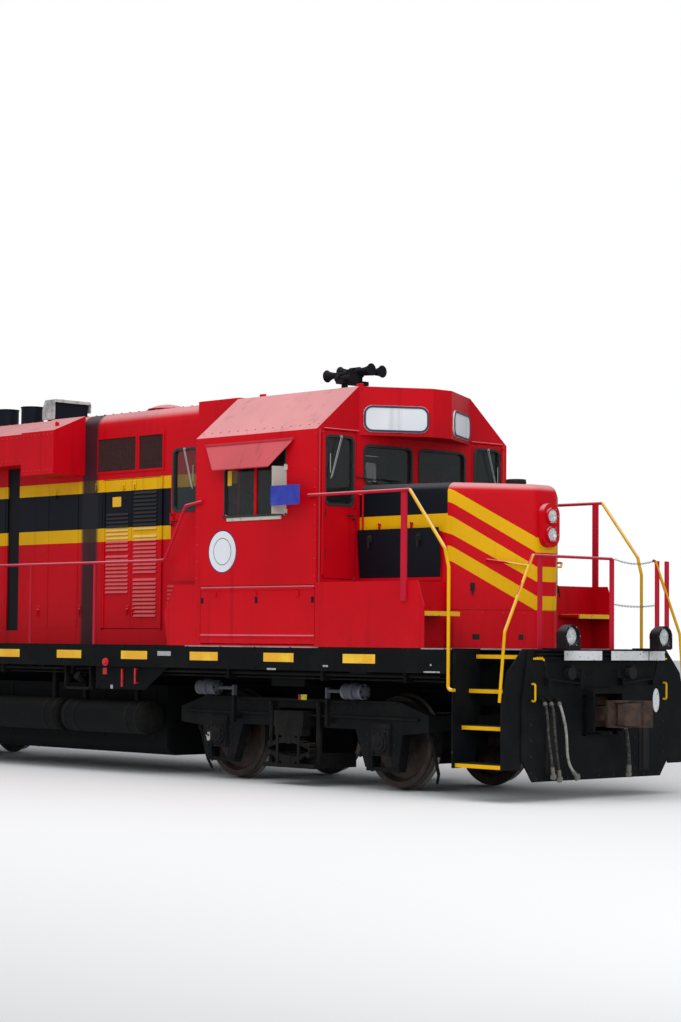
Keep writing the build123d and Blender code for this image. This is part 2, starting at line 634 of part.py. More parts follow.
# Sunshades over the side windows and wind deflectors at the windows' front edges
shade_x = (3611, 5141)
shade_drop = rail_top + 3590
shade_reach = 148
shade_taper = 290
deflector_reach = 150
with BuildPart() as sunshades:
    for side in mirror_y:
        block(shade_x, sides(side, body_half + seat_gap, body_half + 30), (rail_top + 3880, rail_top + 3905))
        plate_yz([(side * (body_half + 10), rail_top + 3900), (side * (body_half + shade_reach), shade_drop),
                  (side * (body_half + shade_reach), shade_drop - 12), (side * (body_half + 10),
                          rail_top + 3886)],
                 shade_x[0], shade_x[1] - shade_x[0])
    for x, inward in ((shade_x[0], 1), (shade_x[1], -1)):
        plate_xz([(x - inward, rail_top + 3886), (x - inward, shade_drop - 20),
                  (x + inward * shade_taper, shade_drop - 20)], body_half + 300, 2 * (body_half + 300),
                 mode=Mode.SUBTRACT)
    for side in mirror_y:
        plate_xy([(side_window_x[1] + 12, side * (body_half + seat_gap)),
                  (side_window_x[1] + 24, side * (body_half + seat_gap)),
                  (side_window_x[1] - 48, side * (body_half + deflector_reach)), (side_window_x[1] - 60,
                          side * (body_half + deflector_reach))],
                 rail_top + 3045, 540)
save(sunshades.part, "sunshades")

# Nose: plan outline raised to a sloping top with rounded edges
cover_foot_z = box_top + 20
cover_lean = 60
cover_span = (cab_front_x + 20, 6800)
cover_props = (5700, 6500)
nose_plan = [(cab_front_x + seat_gap, -hood_half), (nose_corner_x, -hood_half), (prow_x, -prow_half),
             (prow_x, prow_half), (nose_corner_x, hood_half), (cab_front_x + seat_gap, hood_half)]
with BuildPart() as nose:
    plate_xy(nose_plan, deck_top + seat_gap, nose_top_rear - deck_top)
    top_slope = (nose_top_rear - nose_top_front) / (prow_x - cab_front_x)
    cut = [(cab_front_x - 50, nose_top_rear + 50 * top_slope),
           (prow_x + 50, nose_top_front - 50 * top_slope), (prow_x + 50,
                                                            nose_top_rear + 200), (cab_front_x - 50,
                                                                    nose_top_rear + 200)]
    plate_xz(cut, hood_half + 50, 2 * hood_half + 100, mode=Mode.SUBTRACT)
    fillet(nose.edges().filter_by(Axis.Z).filter_by(lambda e: e.center().X > nose_corner_x - 1), radius=130)
    rim = [e for e in nose.faces().sort_by(Axis.Z)[-1].edges() if e.center().X > cab_front_x + 5]
    fillet(rim, radius=110)
    for side in mirror_y:
        block((box_rear_wall_x + 3000, box_front_x), sides(side, hood_half - 1, box_inner_y - seat_gap),
              (deck_top + 20, box_top - 20))
        plate_yz([(side * (hood_half - 1), cover_foot_z), (side * (hood_half + 12), cover_foot_z),
                  (side * (hood_half + cover_lean),
                   cover_foot_z + 580), (side * (hood_half + cover_lean - 12), cover_foot_z + 580)],
                 cover_span[0], cover_span[1] - cover_span[0])
        for x in cover_props:
            block((x - 12, x + 12), sides(side, hood_half - 1, hood_half + cover_lean - 8),
                  (cover_foot_z + 540, cover_foot_z + 564))
        facet = Vector(prow_x - nose_corner_x, side * (prow_half - hood_half), 0).normalized()
        away = Vector(-side * facet.Y, side * facet.X, 0)
        corner = Vector(nose_corner_x, side * hood_half, 0)
        low = corner + facet * 410
        high = corner + facet * 850
        for start, finish, z in ((low, high, rail_top + 2515),):
            pipe([(start.X, start.Y, z), tuple(start + away * 50 + Vector(0, 0, z)),
                  tuple(finish + away * 50 + Vector(0, 0, z - 60)),
                  (finish.X, finish.Y, z - 60)], 20, 12)
save(nose.part, "nose")

# Long hood: rounded shell on the deck, squared collar behind the cab
hood_radius = 200
collar_x = 2666
door_open_x = (775, 1965)
door_open_z = (rail_top + 1748, rail_top + 3650)
recess_x = (-1333, -1063)
recess_z = (rail_top + 1730, rail_top + 4020)
recess_depth = 18
panel_proud = 4
panel_corner = 30
# Fixed doors, columns: rear edge, front edge, foot and head above the rail
fixed_doors = [(-7380, -6790, 1748, 3300), (-6770, -6180, 1748, 3300), (-6160, -5570, 1748, 3300),
               (-5550, -4960, 1748, 3300),
               (-4940, -4350, 1748, 3300), (-4250, -3680, 1748, 3650), (-3660, -3090, 1748, 3650), (-3070,
                       -2500, 1748, 3650),
               (-2480, -1910, 1748, 3650), (-1890, -1380, 1748, 3650), (-1020, -400, 1748, 3650), (-380,
                       240, 1748, 3650)]
# Shutters over the radiators, columns: rear edge, front edge
shutters = [(-7330, -5880), (-5800, -4350)]
shutter_z = (rail_top + 3420, rail_top + 4260)
shutter_pitch = 60
# Mesh over the air intakes, columns: rear edge, front edge
grilles = [(660, 1430), (1500, 1970)]
grille_z = (rail_top + 3760, rail_top + 4180)
grille_pitch = 60
grille_wire = 12
frame_wide = 30
frame_proud = 10
intake_depth = 14
intakes = [(x, shutter_z) for x in shutters] + [(x, grille_z) for x in grilles]
with BuildPart() as long_hood:
    with BuildSketch(Plane.YZ.offset(hood_rear_x)) as hood_section:
        with Locations((0, (deck_top + hood_top) / 2)):
            Rectangle(2 * hood_half, hood_top - deck_top)
        fillet(hood_section.vertices().group_by(Axis.Y)[-1], radius=hood_radius)
    extrude(amount=collar_x + 10 - hood_rear_x)
    block((collar_x, cab_rear_x - seat_gap), (-hood_half - 10, hood_half + 10), (deck_top, roof_top + 20))
    with BuildSketch(Plane.YZ.offset(hood_rear_x + hood_wall)) as hood_inside:
        with Locations((0, (deck_top - 40 + hood_top - hood_wall) / 2)):
            Rectangle(2 * (hood_half - hood_wall), hood_top - hood_wall - deck_top + 40)
        fillet(hood_inside.vertices().group_by(Axis.Y)[-1], radius=hood_radius - hood_wall)
    extrude(amount=cab_rear_x + 20 - hood_rear_x - hood_wall, mode=Mode.SUBTRACT)
    block((hood_rear_x - 50, cab_rear_x + 50), (-hood_half - 50, hood_half + 50),
          (deck_top - 100, deck_top + seat_gap), mode=Mode.SUBTRACT)
    panel_yz((-310, 310), (rail_top + 1748, rail_top + 3500),
             (hood_rear_x - panel_proud, hood_rear_x + 1), panel_corner)
    for side in mirror_y:
        outer_face = Plane.XZ.offset(-side * (hood_half - 1))
        block(recess_x, sides(side, hood_half - recess_depth, hood_half + 5), recess_z, mode=Mode.SUBTRACT)
        with BuildSketch(outer_face) as doors_outline:
            for rear, front, foot, head in fixed_doors:
                with Locations(((rear + front) / 2, rail_top + (foot + head) / 2)):
                    RectangleRounded(front - rear, head - foot, panel_corner)
        extrude(doors_outline.sketch, amount=-side * (panel_proud + 1))
        with BuildSketch(outer_face) as frames_outline:
            for x, z in intakes:
                with Locations((sum(x) / 2, sum(z) / 2)):
                    Rectangle(x[1] - x[0] + 2 * frame_wide, z[1] - z[0] + 2 * frame_wide)
        extrude(frames_outline.sketch, amount=-side * (frame_proud + 1))
        for x, z in intakes:
            block(x, sides(side, hood_half - intake_depth, hood_half + frame_proud + 1), z,
                  mode=Mode.SUBTRACT)
        block(door_open_x, sides(side, hood_half - hood_wall - 5, hood_half + 5), door_open_z,
              mode=Mode.SUBTRACT)
        for x in (door_open_x[0] - 20, door_open_x[1]):
            for z in (door_open_z[0] - 10, door_open_z[1] - 10):
                block((x, x + 20), sides(side, hood_half - 1, hood_half + 26), (z, z + 20))
        louvres((2090, 2560), (rail_top + 2010, rail_top + 2310), hood_half, side, 50, 12)
save(long_hood.part, "long_hood")

# Shutters and mesh that sit in the hood's intake frames
stile = 24
with BuildPart() as hood_grilles:
    for side in mirror_y:
        back = hood_half - intake_depth + seat_gap
        for x in shutters:
            inside = (x[0] + seat_gap, x[1] - seat_gap)
            with BuildSketch(Plane.XZ.offset(-max(side * back, side * (back + 12)))) as shutter_frame:
                with Locations((sum(x) / 2, sum(shutter_z) / 2)):
                    Rectangle(inside[1] - inside[0], shutter_z[1] - shutter_z[0] - 2 * seat_gap)
                    Rectangle(inside[1] - inside[0] - 2 * stile, shutter_z[1] - shutter_z[0] - 2 * stile,
                              mode=Mode.SUBTRACT)
            extrude(shutter_frame.sketch, amount=12)
            louvres((inside[0] + stile - 1, inside[1] - stile + 1),
                    (shutter_z[0] + stile - 2, shutter_z[1] - stile),
                    back + 1, side, shutter_pitch, 20)
        for x in grilles:
            mesh_panel((x[0] + seat_gap, x[1] - seat_gap), (grille_z[0] + seat_gap, grille_z[1] - seat_gap),
                       max(side * back, side * (back + 8)), grille_pitch, grille_wire, 8)
save(hood_grilles.part, "hood_grilles")

# Louvred engine-room doors, a pair on each side
door_mid_x = 1357
hood_door_hinge_y = hood_half + 14
louvre_pitch = 50
louvre_depth = 15
louvre_group = 10 * louvre_pitch
# Columns: leaf, its span, hinge line, side of the hinge strap, louvre span, foot of each louvre group
hood_doors = [
    ("aft", (door_open_x[0] + swing_gap, door_mid_x - swing_gap / 2), door_open_x[0] - 10, 1, (845, 1300),
     (2200, 2735)),
    ("fore", (door_mid_x + swing_gap / 2, door_open_x[1] - swing_gap), door_open_x[1] + 10, -1,
     (1410, 1865), (1900, 2447, 2994)),
]
for side, side_name in ((-1, "right"), (1, "left")):
    for leaf_name, x, hinge_x, strap, louvre_x, louvre_feet in hood_doors:
        with BuildPart() as hood_door:
            block(x, sides(side, hood_half - hood_wall + 2, hood_half + 2),
                  (door_open_z[0] + swing_gap, door_open_z[1] - swing_gap))
            upright(hinge_x, side * hood_door_hinge_y, (door_open_z[0] + 10 + seat_gap,
                                                        door_open_z[1] - 10 - seat_gap), 9)
            block(tuple(sorted((hinge_x, hinge_x + strap * 50))),
                  sides(side, hood_half + 1, hood_half + 14), (door_open_z[0] + 12, door_open_z[1] - 12))
            for foot in louvre_feet:
                louvres(louvre_x, (rail_top + foot, rail_top + foot + louvre_group), hood_half + 2, side,
                        louvre_pitch, louvre_depth)
        save(hood_door.part, f"hood_door_{side_name}_{leaf_name}")

# Engine block inside the hood
with BuildPart() as engine:
    block((-3600, 1900), (-450, 450), (deck_top + seat_gap, rail_top + 3300))
save(engine.part, "engine")

# Side cabinets, exhaust stacks, roof cabinet and vents
# Cabinets, columns: rear edge, front edge, reach from the centre line, underside
side_cabinets = [(-330, 371, 1400, rail_top + 3730), (-2600, -330 - seat_gap, 1300, rail_top + 3890)]
cabinet_eave = rail_top + 4290
stack_x = (-2632, -2038)
stack_radius = 157
stack_bore = 130
roof_box = ((-1310, -1125), 270)
vent_x = 970
# Domed vent, columns: foot and head above the hood, radius at the foot, radius at the head
domed_vent = [(seat_gap, 14, 266, 262), (13, 86, 216, 214), (84, 97, 270, 268), (96, 140, 266, 152),
              (139, 158, 153, 50)]
nose_vent = (6690, 400)
nose_vent_radius = 45
with BuildPart() as hood_fittings:
    for side in mirror_y:
        for rear, front, reach, low in side_cabinets:
            plate_yz([(side * (hood_half + seat_gap), low), (side * reach, low), (side * reach, cabinet_eave),
                      (side * (hood_half + seat_gap),
                       cabinet_eave + 10 + (reach - hood_half) * 0.4)], rear, front - rear)
    for x in stack_x:
        upright(x, 0, (hood_top + seat_gap, hood_top + 60), stack_radius + 25)
        upright(x, 0, (hood_top + 50, hood_top + 330), stack_radius)
        upright(x, 0, (hood_top + 150, hood_top + 400), stack_bore, mode=Mode.SUBTRACT)
    box_x, box_half = roof_box
    block(box_x, (-box_half, box_half), (hood_top + seat_gap, hood_top + 340))
    block((box_x[0] - 20, box_x[1] + 20), (-box_half - 20, box_half + 20), (hood_top + 335, hood_top + 358))
    for low, high, radius, top_radius in domed_vent:
        with Locations((vent_x, 0, hood_top + (low + high) / 2)):
            Cone(radius, top_radius, high - low)
    with Locations((vent_x, 0, hood_top + 50)):
        with PolarLocations(224, 16, start_angle=11.25):
            Box(40, 10, 80)
    foot_z = nose_top_rear - (nose_vent[0] - nose_vent_radius - cab_front_x) * top_slope + seat_gap
    upright(*nose_vent, (foot_z, nose_top_rear + 40), nose_vent_radius)
    upright(*nose_vent, (nose_top_rear + 35, nose_top_rear + 60), nose_vent_radius + 17)
save(hood_fittings.part, "hood_fittings")

# Radiator fans: cowl fixed to the roof, rotor on a vertical shaft
fan_x = (-4700, -6150)
fan_radius = 610
cowl_wall = 14
cowl_height = 210
with BuildPart() as fan_cowls:
    for x in fan_x:
        upright(x, 0, (hood_top + seat_gap, hood_top + cowl_height), fan_radius + 20 + cowl_wall)
        upright(x, 0, (hood_top + 20, hood_top + cowl_height + 10), fan_radius + 20, mode=Mode.SUBTRACT)
        upright(x, 0, (hood_top + 10, hood_top + 50), 110)
save(fan_cowls.part, "fan_cowls")
for x, name in zip(fan_x, ("fan_rotor_a", "fan_rotor_b")):
    with BuildPart() as fan_rotor:
        upright(x, 0, (hood_top + 50 + seat_gap, hood_top + 150), 110)
        for k in range(8):
            blade = Plane(origin=(x, 0, hood_top + 100),
                          x_dir=(cos(radians(45 * k)), sin(radians(45 * k)), 0), z_dir=(0, 0, 1))
            with BuildSketch(blade):
                with BuildLine():
                    Polyline((90, -40), (fan_radius - 15, -95), (fan_radius - 15, 95), (90, 60), close=True)
                make_face()
            extrude(amount=12)
    save(fan_rotor.part, name)

# Headlight housings with two lamps each, and ditch lights on posts
housing_size = (270, 480)
housing_z = rail_top + 2901
rear_housing_z = rail_top + 4000
housing_thick = 70
bezel_radius = 92
lens_radius = 74
lamp_spread = 101
ditch_y = 763
ditch_z = rail_top + 1692
ditch_x = (8400, 8575)
ditch_radius = 118
# Rounded back, columns: from and to behind the lamp's back, radius at each
ditch_back = [(0, 25, 60, 92), (24, 70, 91, 118)]
with BuildPart() as lamps:
    for face_x, outward, mid_z in ((prow_x + seat_gap, 1, housing_z),
                                   (hood_rear_x - seat_gap, -1, rear_housing_z)):
        with BuildSketch(Plane.YZ.offset(face_x)) as housing:
            with Locations((0, mid_z)):
                RectangleRounded(*housing_size, 125)
        extrude(housing.sketch, amount=outward * housing_thick)
        for z in (mid_z - lamp_spread, mid_z + lamp_spread):
            with Locations(Location((face_x + outward * (housing_thick + 8), 0, z), (0, 90, 0))):
                Cylinder(bezel_radius, 30)
            with Locations(Location((face_x + outward * (housing_thick + 10), 0, z), (0, 90, 0))):
                Cylinder(lens_radius, 70, mode=Mode.SUBTRACT)
    for side in mirror_y:
        for low, high, small, large in ditch_back:
            with Locations(Location((ditch_x[0] + (low + high) / 2, side * ditch_y, ditch_z), (0, 90, 0))):
                Cone(small, large, high - low)
        with Locations(Location(((ditch_x[0] + 68 + ditch_x[1]) / 2, side * ditch_y, ditch_z), (0, 90, 0))):
            Cylinder(ditch_radius, ditch_x[1] - ditch_x[0] - 68)
        block((ditch_x[0] + 50, ditch_x[1]), sides(side, ditch_y - ditch_radius, ditch_y + ditch_radius),
              (deck_top + 10, ditch_z))
        with Locations(Location((ditch_x[1], side * ditch_y, ditch_z), (0, 90, 0))):
            Cylinder(ditch_radius - 20, 120, mode=Mode.SUBTRACT)
        block((end_plate_x - 40, ditch_x[1]), sides(side, ditch_y - 120, ditch_y + 99),
              (deck_top + seat_gap, deck_top + 14))
save(lamps.part, "lamps")
number_board_size = (770, 305)
number_board_z = rail_top + 4145
board_angle = degrees(atan2(housing_depth, housing_half_y - housing_flat))
with BuildPart() as number_boards:
    for side in mirror_y:
        mid_y = (housing_half_y + housing_flat) / 2
        normal = (sin(radians(90 - board_angle)), side * cos(radians(90 - board_angle)), 0)
        face = Plane(origin=(cab_front_x + housing_depth / 2 + normal[0] * seat_gap,
                             side * mid_y + normal[1] * seat_gap, number_board_z), x_dir=(0 - normal[1],
                                     normal[0], 0), z_dir=normal)
        with BuildSketch(face):
            RectangleRounded(*number_board_size, 100)
        extrude(amount=18)
save(number_boards.part, "number_boards")

# Horn cluster on the cab roof: base, manifold and five trumpets
# Trumpets, columns: mouth x and y, height over the roof, length, direction of the mouth
trumpets = [(4890, 60, 300, 380, 1), (4890, -120, 310, 320, 1), (4770, -290, 215, 260, 1),
            (4300, -60, 320, 300, -1), (4230, -215, 270, 340, -1)]
# Bell sections, columns: start and end as shares of the length, radius at each
bell = [(0, 0.66, 22, 36), (0.66, 0.92, 36, 56), (0.92, 1, 56, 74)]
cap_radius = 46
cap_length = 60
manifold_x = (4500, 4620)
manifold_z = (roof_top + 150, roof_top + 200)
with BuildPart() as horn:
    block((4440, 4680), (-300, 90), (roof_top + seat_gap, roof_top + 40))
    block(manifold_x, (-330, 100), manifold_z)
    for y in (-240, 10):
        block((4530, 4590), (y - 25, y + 25), (roof_top + 30, manifold_z[0] + 10))
    for mouth_x, y, z, length, direction in trumpets:
        throat_x = mouth_x - direction * length
        for start, finish, small, large in bell:
            with Locations(Location((throat_x + direction * length * (start + finish) / 2, y, roof_top + z),
                                    (0, direction * 90, 0))):
                Cone(small, large, length * (finish - start))
        with Locations(Location((throat_x, y, roof_top + z), (0, 90, 0))):
            Cylinder(cap_radius, cap_length)
        block((throat_x - 20, throat_x + 20), (y - 22, y + 22), (manifold_z[0] + 10, roof_top + z))
save(horn.part, "horn")

# Handrails along the walkways, down to the steps and across the ends
rail_radius = 18
thin_radius = 16
rail_y = body_half - 18
rail_out = body_half + 22
rail_height = rail_top + 2560
cab_rail_z = rail_top + 3240
rail_foot_z = rail_top + 1130
end_rail_x = end_plate_x - 18
end_rail_z = rail_height - 30
stair_rail_y = stair_y - 140
post_x = (-6700, -5350, -4000, -2650, -1300, 129, 1467)
end_post_y = (-895, 270, 1045, 1215)
with BuildPart() as handrails:
    for side in mirror_y:
        inner = side * rail_y
        outer = side * rail_out
        pipe([(-stair_x - 55, outer, rail_foot_z - 10), (-stair_x + 10, outer, rail_foot_z),
              (-stair_x + 10, outer, rail_top + 2300),
              (-stair_x + 105, outer, rail_height), (-stair_x + 385, outer, rail_height), (-stair_x + 635,
                      inner, rail_height),
              (2700, inner, rail_height), (2880, outer, rail_height + 10), (3260, outer,
                      rail_top + 3200), (3560, outer, cab_rail_z)],
             40, rail_radius)
        for x in post_x:
            block((x - 20, x + 20), sides(side, rail_y - 8, rail_y + 8), (deck_top + seat_gap, rail_height))
        pipe([(5400, outer, cab_rail_z), (6994, outer, cab_rail_z),
              (stair_x - 65, outer, rail_top + 2600), (stair_x - 10, outer, rail_top + 2400),
              (stair_x - 10, outer, rail_foot_z), (stair_x + 55, outer, rail_foot_z - 10)], 40, rail_radius)
        for x in ((3530, 3560), (5400, 5430)):
            block(x, sides(side, body_half + seat_gap, rail_out), (cab_rail_z - 18, cab_rail_z + 18))
        block((6860, 6940), sides(side, body_half + seat_gap, rail_out), (rail_top + 2050, cab_rail_z))
        for end in (1, -1):
            block(tuple(sorted((end * (stair_x + 5), end * (stair_x + 55)))),
                  sides(side, step_reach + seat_gap, rail_out),
                  (rail_foot_z - 25, rail_foot_z + 5))
            pipe([(end * (end_plate_x - 14), side * (step_reach - 40 + thin_radius + seat_gap),
                   rail_top + 1005),
                  (end * (end_plate_x - 14), side * (step_reach - 100), rail_top + 1729),
                  (end * end_rail_x, side * (stair_rail_y + 30), end_rail_z), (end * end_rail_x,
                          side * stair_rail_y, end_rail_z)],
                 25, thin_radius)
    for end in (1, -1):
        for y in end_post_y:
            block(tuple(sorted((end * (end_rail_x - 8), end * (end_rail_x + 8)))),
                  tuple(sorted((end * y - 32, end * y + 32))),
                  (deck_top + seat_gap, end_rail_z))
        pipe([(end * end_rail_x, -end * (stair_rail_y - seat_gap), end_rail_z),
              (end * end_rail_x, end * end_post_y[1], end_rail_z)], 10, thin_radius)
        pipe([(end * end_rail_x, end * (stair_rail_y - seat_gap), end_rail_z),
              (end * end_rail_x, end * (end_post_y[2] - 20), end_rail_z)], 10, thin_radius)
save(handrails.part, "handrails")

# Trucks: side frames with pedestals, transoms, bolster on leaf springs, journal boxes, motors
frame_y = (960, 1090)
frame_top = rail_top + 960
frame_base = rail_top + 640
arch_z = rail_top + 720
leg_foot = rail_top + 230
tie_thick = 40
half_base = wheelbase / 2
journal_half = 150
leg_half = 260
bolster_gap_top = rail_top + 850
pedestal_outer = half_base + leg_half
frame_end = half_base + 720
right_frame_outline = [
    (320, bolster_gap_top), (320, frame_base), (half_base - 420, frame_base), (half_base - leg_half,
            leg_foot),
    (half_base - journal_half, leg_foot), (half_base - journal_half, arch_z), (half_base + journal_half,
            arch_z),
    (half_base + journal_half, leg_foot), (pedestal_outer, leg_foot), (pedestal_outer + 60, rail_top + 600),
    (frame_end, frame_base), (frame_end, rail_top + 820), (pedestal_outer, frame_top)]
side_frame_outline = right_frame_outline + [(-x, z) for x, z in reversed(right_frame_outline)]
box_size = journal_half - seat_gap
axle_end = 1060
axle_end_radius = axle_radius - 20
shoe_gap = 10
shoe_thick = 57
shoe_half_height = 150
hanger_reach = 560
shoe_y = (724, 806)
cylinder_z = rail_top + 1060
cylinder_y = 1190
cylinder_radius = 85
# Brake cylinders, columns: two ends of the barrel and the rod's end, all from the truck's middle
brake_cylinders = [(-1618, -1305, -1000), (891, 1197, 600)]
with BuildPart() as truck_frame:
    for side in mirror_y:
        plate_xz(side_frame_outline, side * (sum(frame_y) / 2) + (frame_y[1] - frame_y[0]) / 2,
                 frame_y[1] - frame_y[0])
        block((-pedestal_outer, pedestal_outer), sides(side, frame_y[0] - 30, frame_y[1] + 30),
              (frame_top - 20, frame_top))
        for x in (-half_base, half_base):
            block((x - leg_half, x + leg_half), sides(side, frame_y[0] + 15, frame_y[1] - 15),
                  (leg_foot - tie_thick, leg_foot + 1))
            for ahead in (1, -1):
                with BuildSketch(Plane.XZ.offset(-max(side * shoe_y[0], side * shoe_y[1]))) as shoe:
                    with Locations((x, axle_z)):
                        Circle(tread_radius + shoe_gap + shoe_thick)
                        Circle(tread_radius + shoe_gap, mode=Mode.SUBTRACT)
                    with Locations((x + ahead * (tread_radius + shoe_gap + shoe_thick / 2), axle_z)):
                        Rectangle(2 * shoe_thick, 2 * shoe_half_height, mode=Mode.INTERSECT)
                extrude(shoe.sketch, amount=shoe_y[1] - shoe_y[0])
                hanger = x + ahead * hanger_reach
                block((hanger - 18, hanger + 18), sides(side, shoe_y[1] - 20, shoe_y[1] + 34),
                      (axle_z - 60, rail_top + 800))
                block((hanger - 18, hanger + 18), sides(side, shoe_y[1] + 30, frame_y[0] + 5),
                      (rail_top + 700, rail_top + 760))
        for low, high, rod in brake_cylinders:
            ahead = -side
            barrel = tuple(sorted((ahead * low, ahead * high)))
            with Locations(Location((sum(barrel) / 2, side * cylinder_y, cylinder_z), (0, 90, 0))):
                Cylinder(cylinder_radius, barrel[1] - barrel[0])
            with Locations(Location((sum(barrel) / 2, side * cylinder_y, cylinder_z), (0, 90, 0))):
                Cylinder(cylinder_radius + 14, 60)
            stretch = tuple(sorted((ahead * rod, sum(barrel) / 2)))
            with Locations(Location((sum(stretch) / 2, side * cylinder_y, cylinder_z), (0, 90, 0))):
                Cylinder(20, stretch[1] - stretch[0])
            block((sum(barrel) / 2 - 60, sum(barrel) / 2 + 60),
                  sides(side, frame_y[0] + 20, cylinder_y + 20), (frame_top - 1, cylinder_z - 60))
            block((ahead * rod - 16, ahead * rod + 16), sides(side, cylinder_y - 25, cylinder_y + 25),
                  (frame_base + 20, cylinder_z + 35))
            block((ahead * rod - 16, ahead * rod + 16), sides(side, frame_y[1] - 5, cylinder_y),
                  (frame_base + 60, frame_base + 110))
    for x in ((-420, -330), (330, 420)):
        block(x, (-frame_y[0] - 10, frame_y[0] + 10), (rail_top + 700, rail_top + 900))
    for x in ((-frame_end, -frame_end + 60), (frame_end - 60, frame_end)):
        block(x, (-frame_y[0] - 10, frame_y[0] + 10), (rail_top + 650, rail_top + 810))

spring_y = (1130, 1240)
spring_mid = rail_top + 380
spring_half = 360
spring_camber = 80
leaf_thick = 16
leaf_count = 5
leaf_step = 62
hanger_x = 400
spring_reach = spring_camber + leaf_thick * leaf_count
leaf_radius = (spring_half ** 2 + spring_camber ** 2) / (2 * spring_camber)
with BuildPart() as truck_bolster:
    block((-250, 250), (-spring_y[1], spring_y[1]), (frame_base, rail_top + 820))
    upright(0, 0, (rail_top + 700, pin_bottom + 150), pin_radius + 60)
    upright(0, 0, (pin_bottom - seat_gap, pin_bottom + 200), pin_radius + pin_gap, mode=Mode.SUBTRACT)
    for side in mirror_y:
        with BuildSketch(Plane.XZ.offset(-max(side * spring_y[0], side * spring_y[1]))) as leaves:
            for up in (1, -1):
                centre = spring_mid + up * (spring_camber - leaf_radius)
                for k in range(leaf_count):
                    inner = leaf_radius + leaf_thick * k
                    outer = inner + leaf_thick
                    lean = asin((spring_half - leaf_step * k) / inner)
                    with BuildLine():
                        Line((-inner * sin(lean), centre + up * inner * cos(lean)),
                             (-outer * sin(lean), centre + up * outer * cos(lean)))
                        ThreePointArc((-outer * sin(lean), centre + up * outer * cos(lean)),
                                      (0, centre + up * outer),
                                      (outer * sin(lean), centre + up * outer * cos(lean)))
                        Line((outer * sin(lean), centre + up * outer * cos(lean)),
                             (inner * sin(lean), centre + up * inner * cos(lean)))
                        ThreePointArc((inner * sin(lean), centre + up * inner * cos(lean)),
                                      (0, centre + up * inner),
                                      (-inner * sin(lean), centre + up * inner * cos(lean)))
                    make_face()
        extrude(leaves.sketch, amount=spring_y[1] - spring_y[0])
        block((-230, 230), sides(side, frame_y[1] + 20, spring_y[1]), (spring_mid + spring_reach - 2,
                frame_base + 1))
        block((-hanger_x - 30, hanger_x + 30), sides(side, *spring_y), (spring_mid - spring_reach - 45,
                spring_mid - spring_reach + 2))
        block((-45, 45), sides(side, spring_y[0] - 5, spring_y[1] + 5),
              (spring_mid - spring_reach, spring_mid - spring_camber + 10))
        block((-45, 45), sides(side, spring_y[0] - 5, spring_y[1] + 5), (spring_mid + spring_camber - 10,
                spring_mid + spring_reach))
        for x in (-hanger_x, hanger_x):
            block((x - 30, x + 30), sides(side, 1110, 1150), (spring_mid - spring_reach - 45, rail_top + 930))
            block((x - 30, x + 30), sides(side, frame_y[1] + seat_gap, 1150),
                  (rail_top + 870, rail_top + 930))
with BuildPart() as journal_boxes:
    for side in mirror_y:
        for x in (-half_base, half_base):
            block((x - box_size, x + box_size), sides(side, 940, 1110), (axle_z - 150, arch_z - seat_gap))
            for y, radius, thick in ((1110, 120, 60), (1148, 84, 24)):
                with Locations(Location((x, side * y, axle_z), (90, 0, 0))):
                    Cylinder(radius, thick)
            with Locations(Location((x, side * (axle_end / 2), axle_z), (90, 0, 0))):
                Cylinder(axle_end_radius + pin_gap, axle_end + 2, mode=Mode.SUBTRACT)
with BuildPart() as truck_motors:
    for turn in (1, -1):
        x = turn * half_base
        block(tuple(sorted((x + turn * 40, x - turn * 700))), (-430, 430), (axle_z - 260, axle_z + 300))
        with Locations(Location((x, 0, axle_z), (90, 0, 0))):
            Cylinder(190, 860)
        with Locations(Location((x, 0, axle_z), (90, 0, 0))):
            Cylinder(axle_radius + pin_gap, 900, mode=Mode.SUBTRACT)
        block(tuple(sorted((x - turn * 690, turn * (420 + seat_gap)))), (-200, 200),
              (axle_z + 150, axle_z + 280))
for end_name, end in (("front", 1), ("rear", -1)):
    place = Location((end * truck_x, 0, 0), (0, 0, 0 if end > 0 else 180))
    save(place * truck_frame.part, f"truck_frame_{end_name}")
    save(place * truck_bolster.part, f"truck_bolster_{end_name}")
    save(place * journal_boxes.part, f"journal_boxes_{end_name}")
    save(place * truck_motors.part, f"truck_motors_{end_name}")

# Wheelsets: one revolved half section, mirrored
wheel_in = wheel_back_gap / 2
wheel_out = wheel_in + wheel_width
wheel_half_section = [
    (0, 0), (0, axle_radius), (wheel_in - 40, axle_radius), (wheel_in - 40, 150), (wheel_in + 20,
            160), (wheel_in + 50, 400), (wheel_in, 440),
    (wheel_in, tread_radius + flange_height - 6), (wheel_in + 8,
                                                   tread_radius + flange_height), (wheel_in + 22,
                                                           tread_radius + flange_height),
    (wheel_in + 36, tread_radius + 2), (wheel_out, tread_radius - 4), (wheel_out, 440), (wheel_in + 80,
            400), (wheel_in + 60, 170),
    (wheel_out + 10, 150), (wheel_out + 10, axle_end_radius), (axle_end, axle_end_radius), (axle_end, 0)]
with BuildPart() as wheelset:
    with BuildSketch(Plane.YZ):
        with BuildLine():
            Polyline(*wheel_half_section, close=True)
        make_face()
    revolve(axis=Axis.Y)
    mirror(about=Plane.XZ)
for name, x in (("wheelset_1", truck_x + half_base), ("wheelset_2", truck_x - half_base),
                ("wheelset_3", -truck_x + half_base), ("wheelset_4", -truck_x - half_base)):
    save(Pos(x, 0, axle_z) * wheelset.part, name)
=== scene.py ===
from math import cos, pi, radians, sin

import bmesh
import bpy
from mathutils import Matrix, Vector, noise


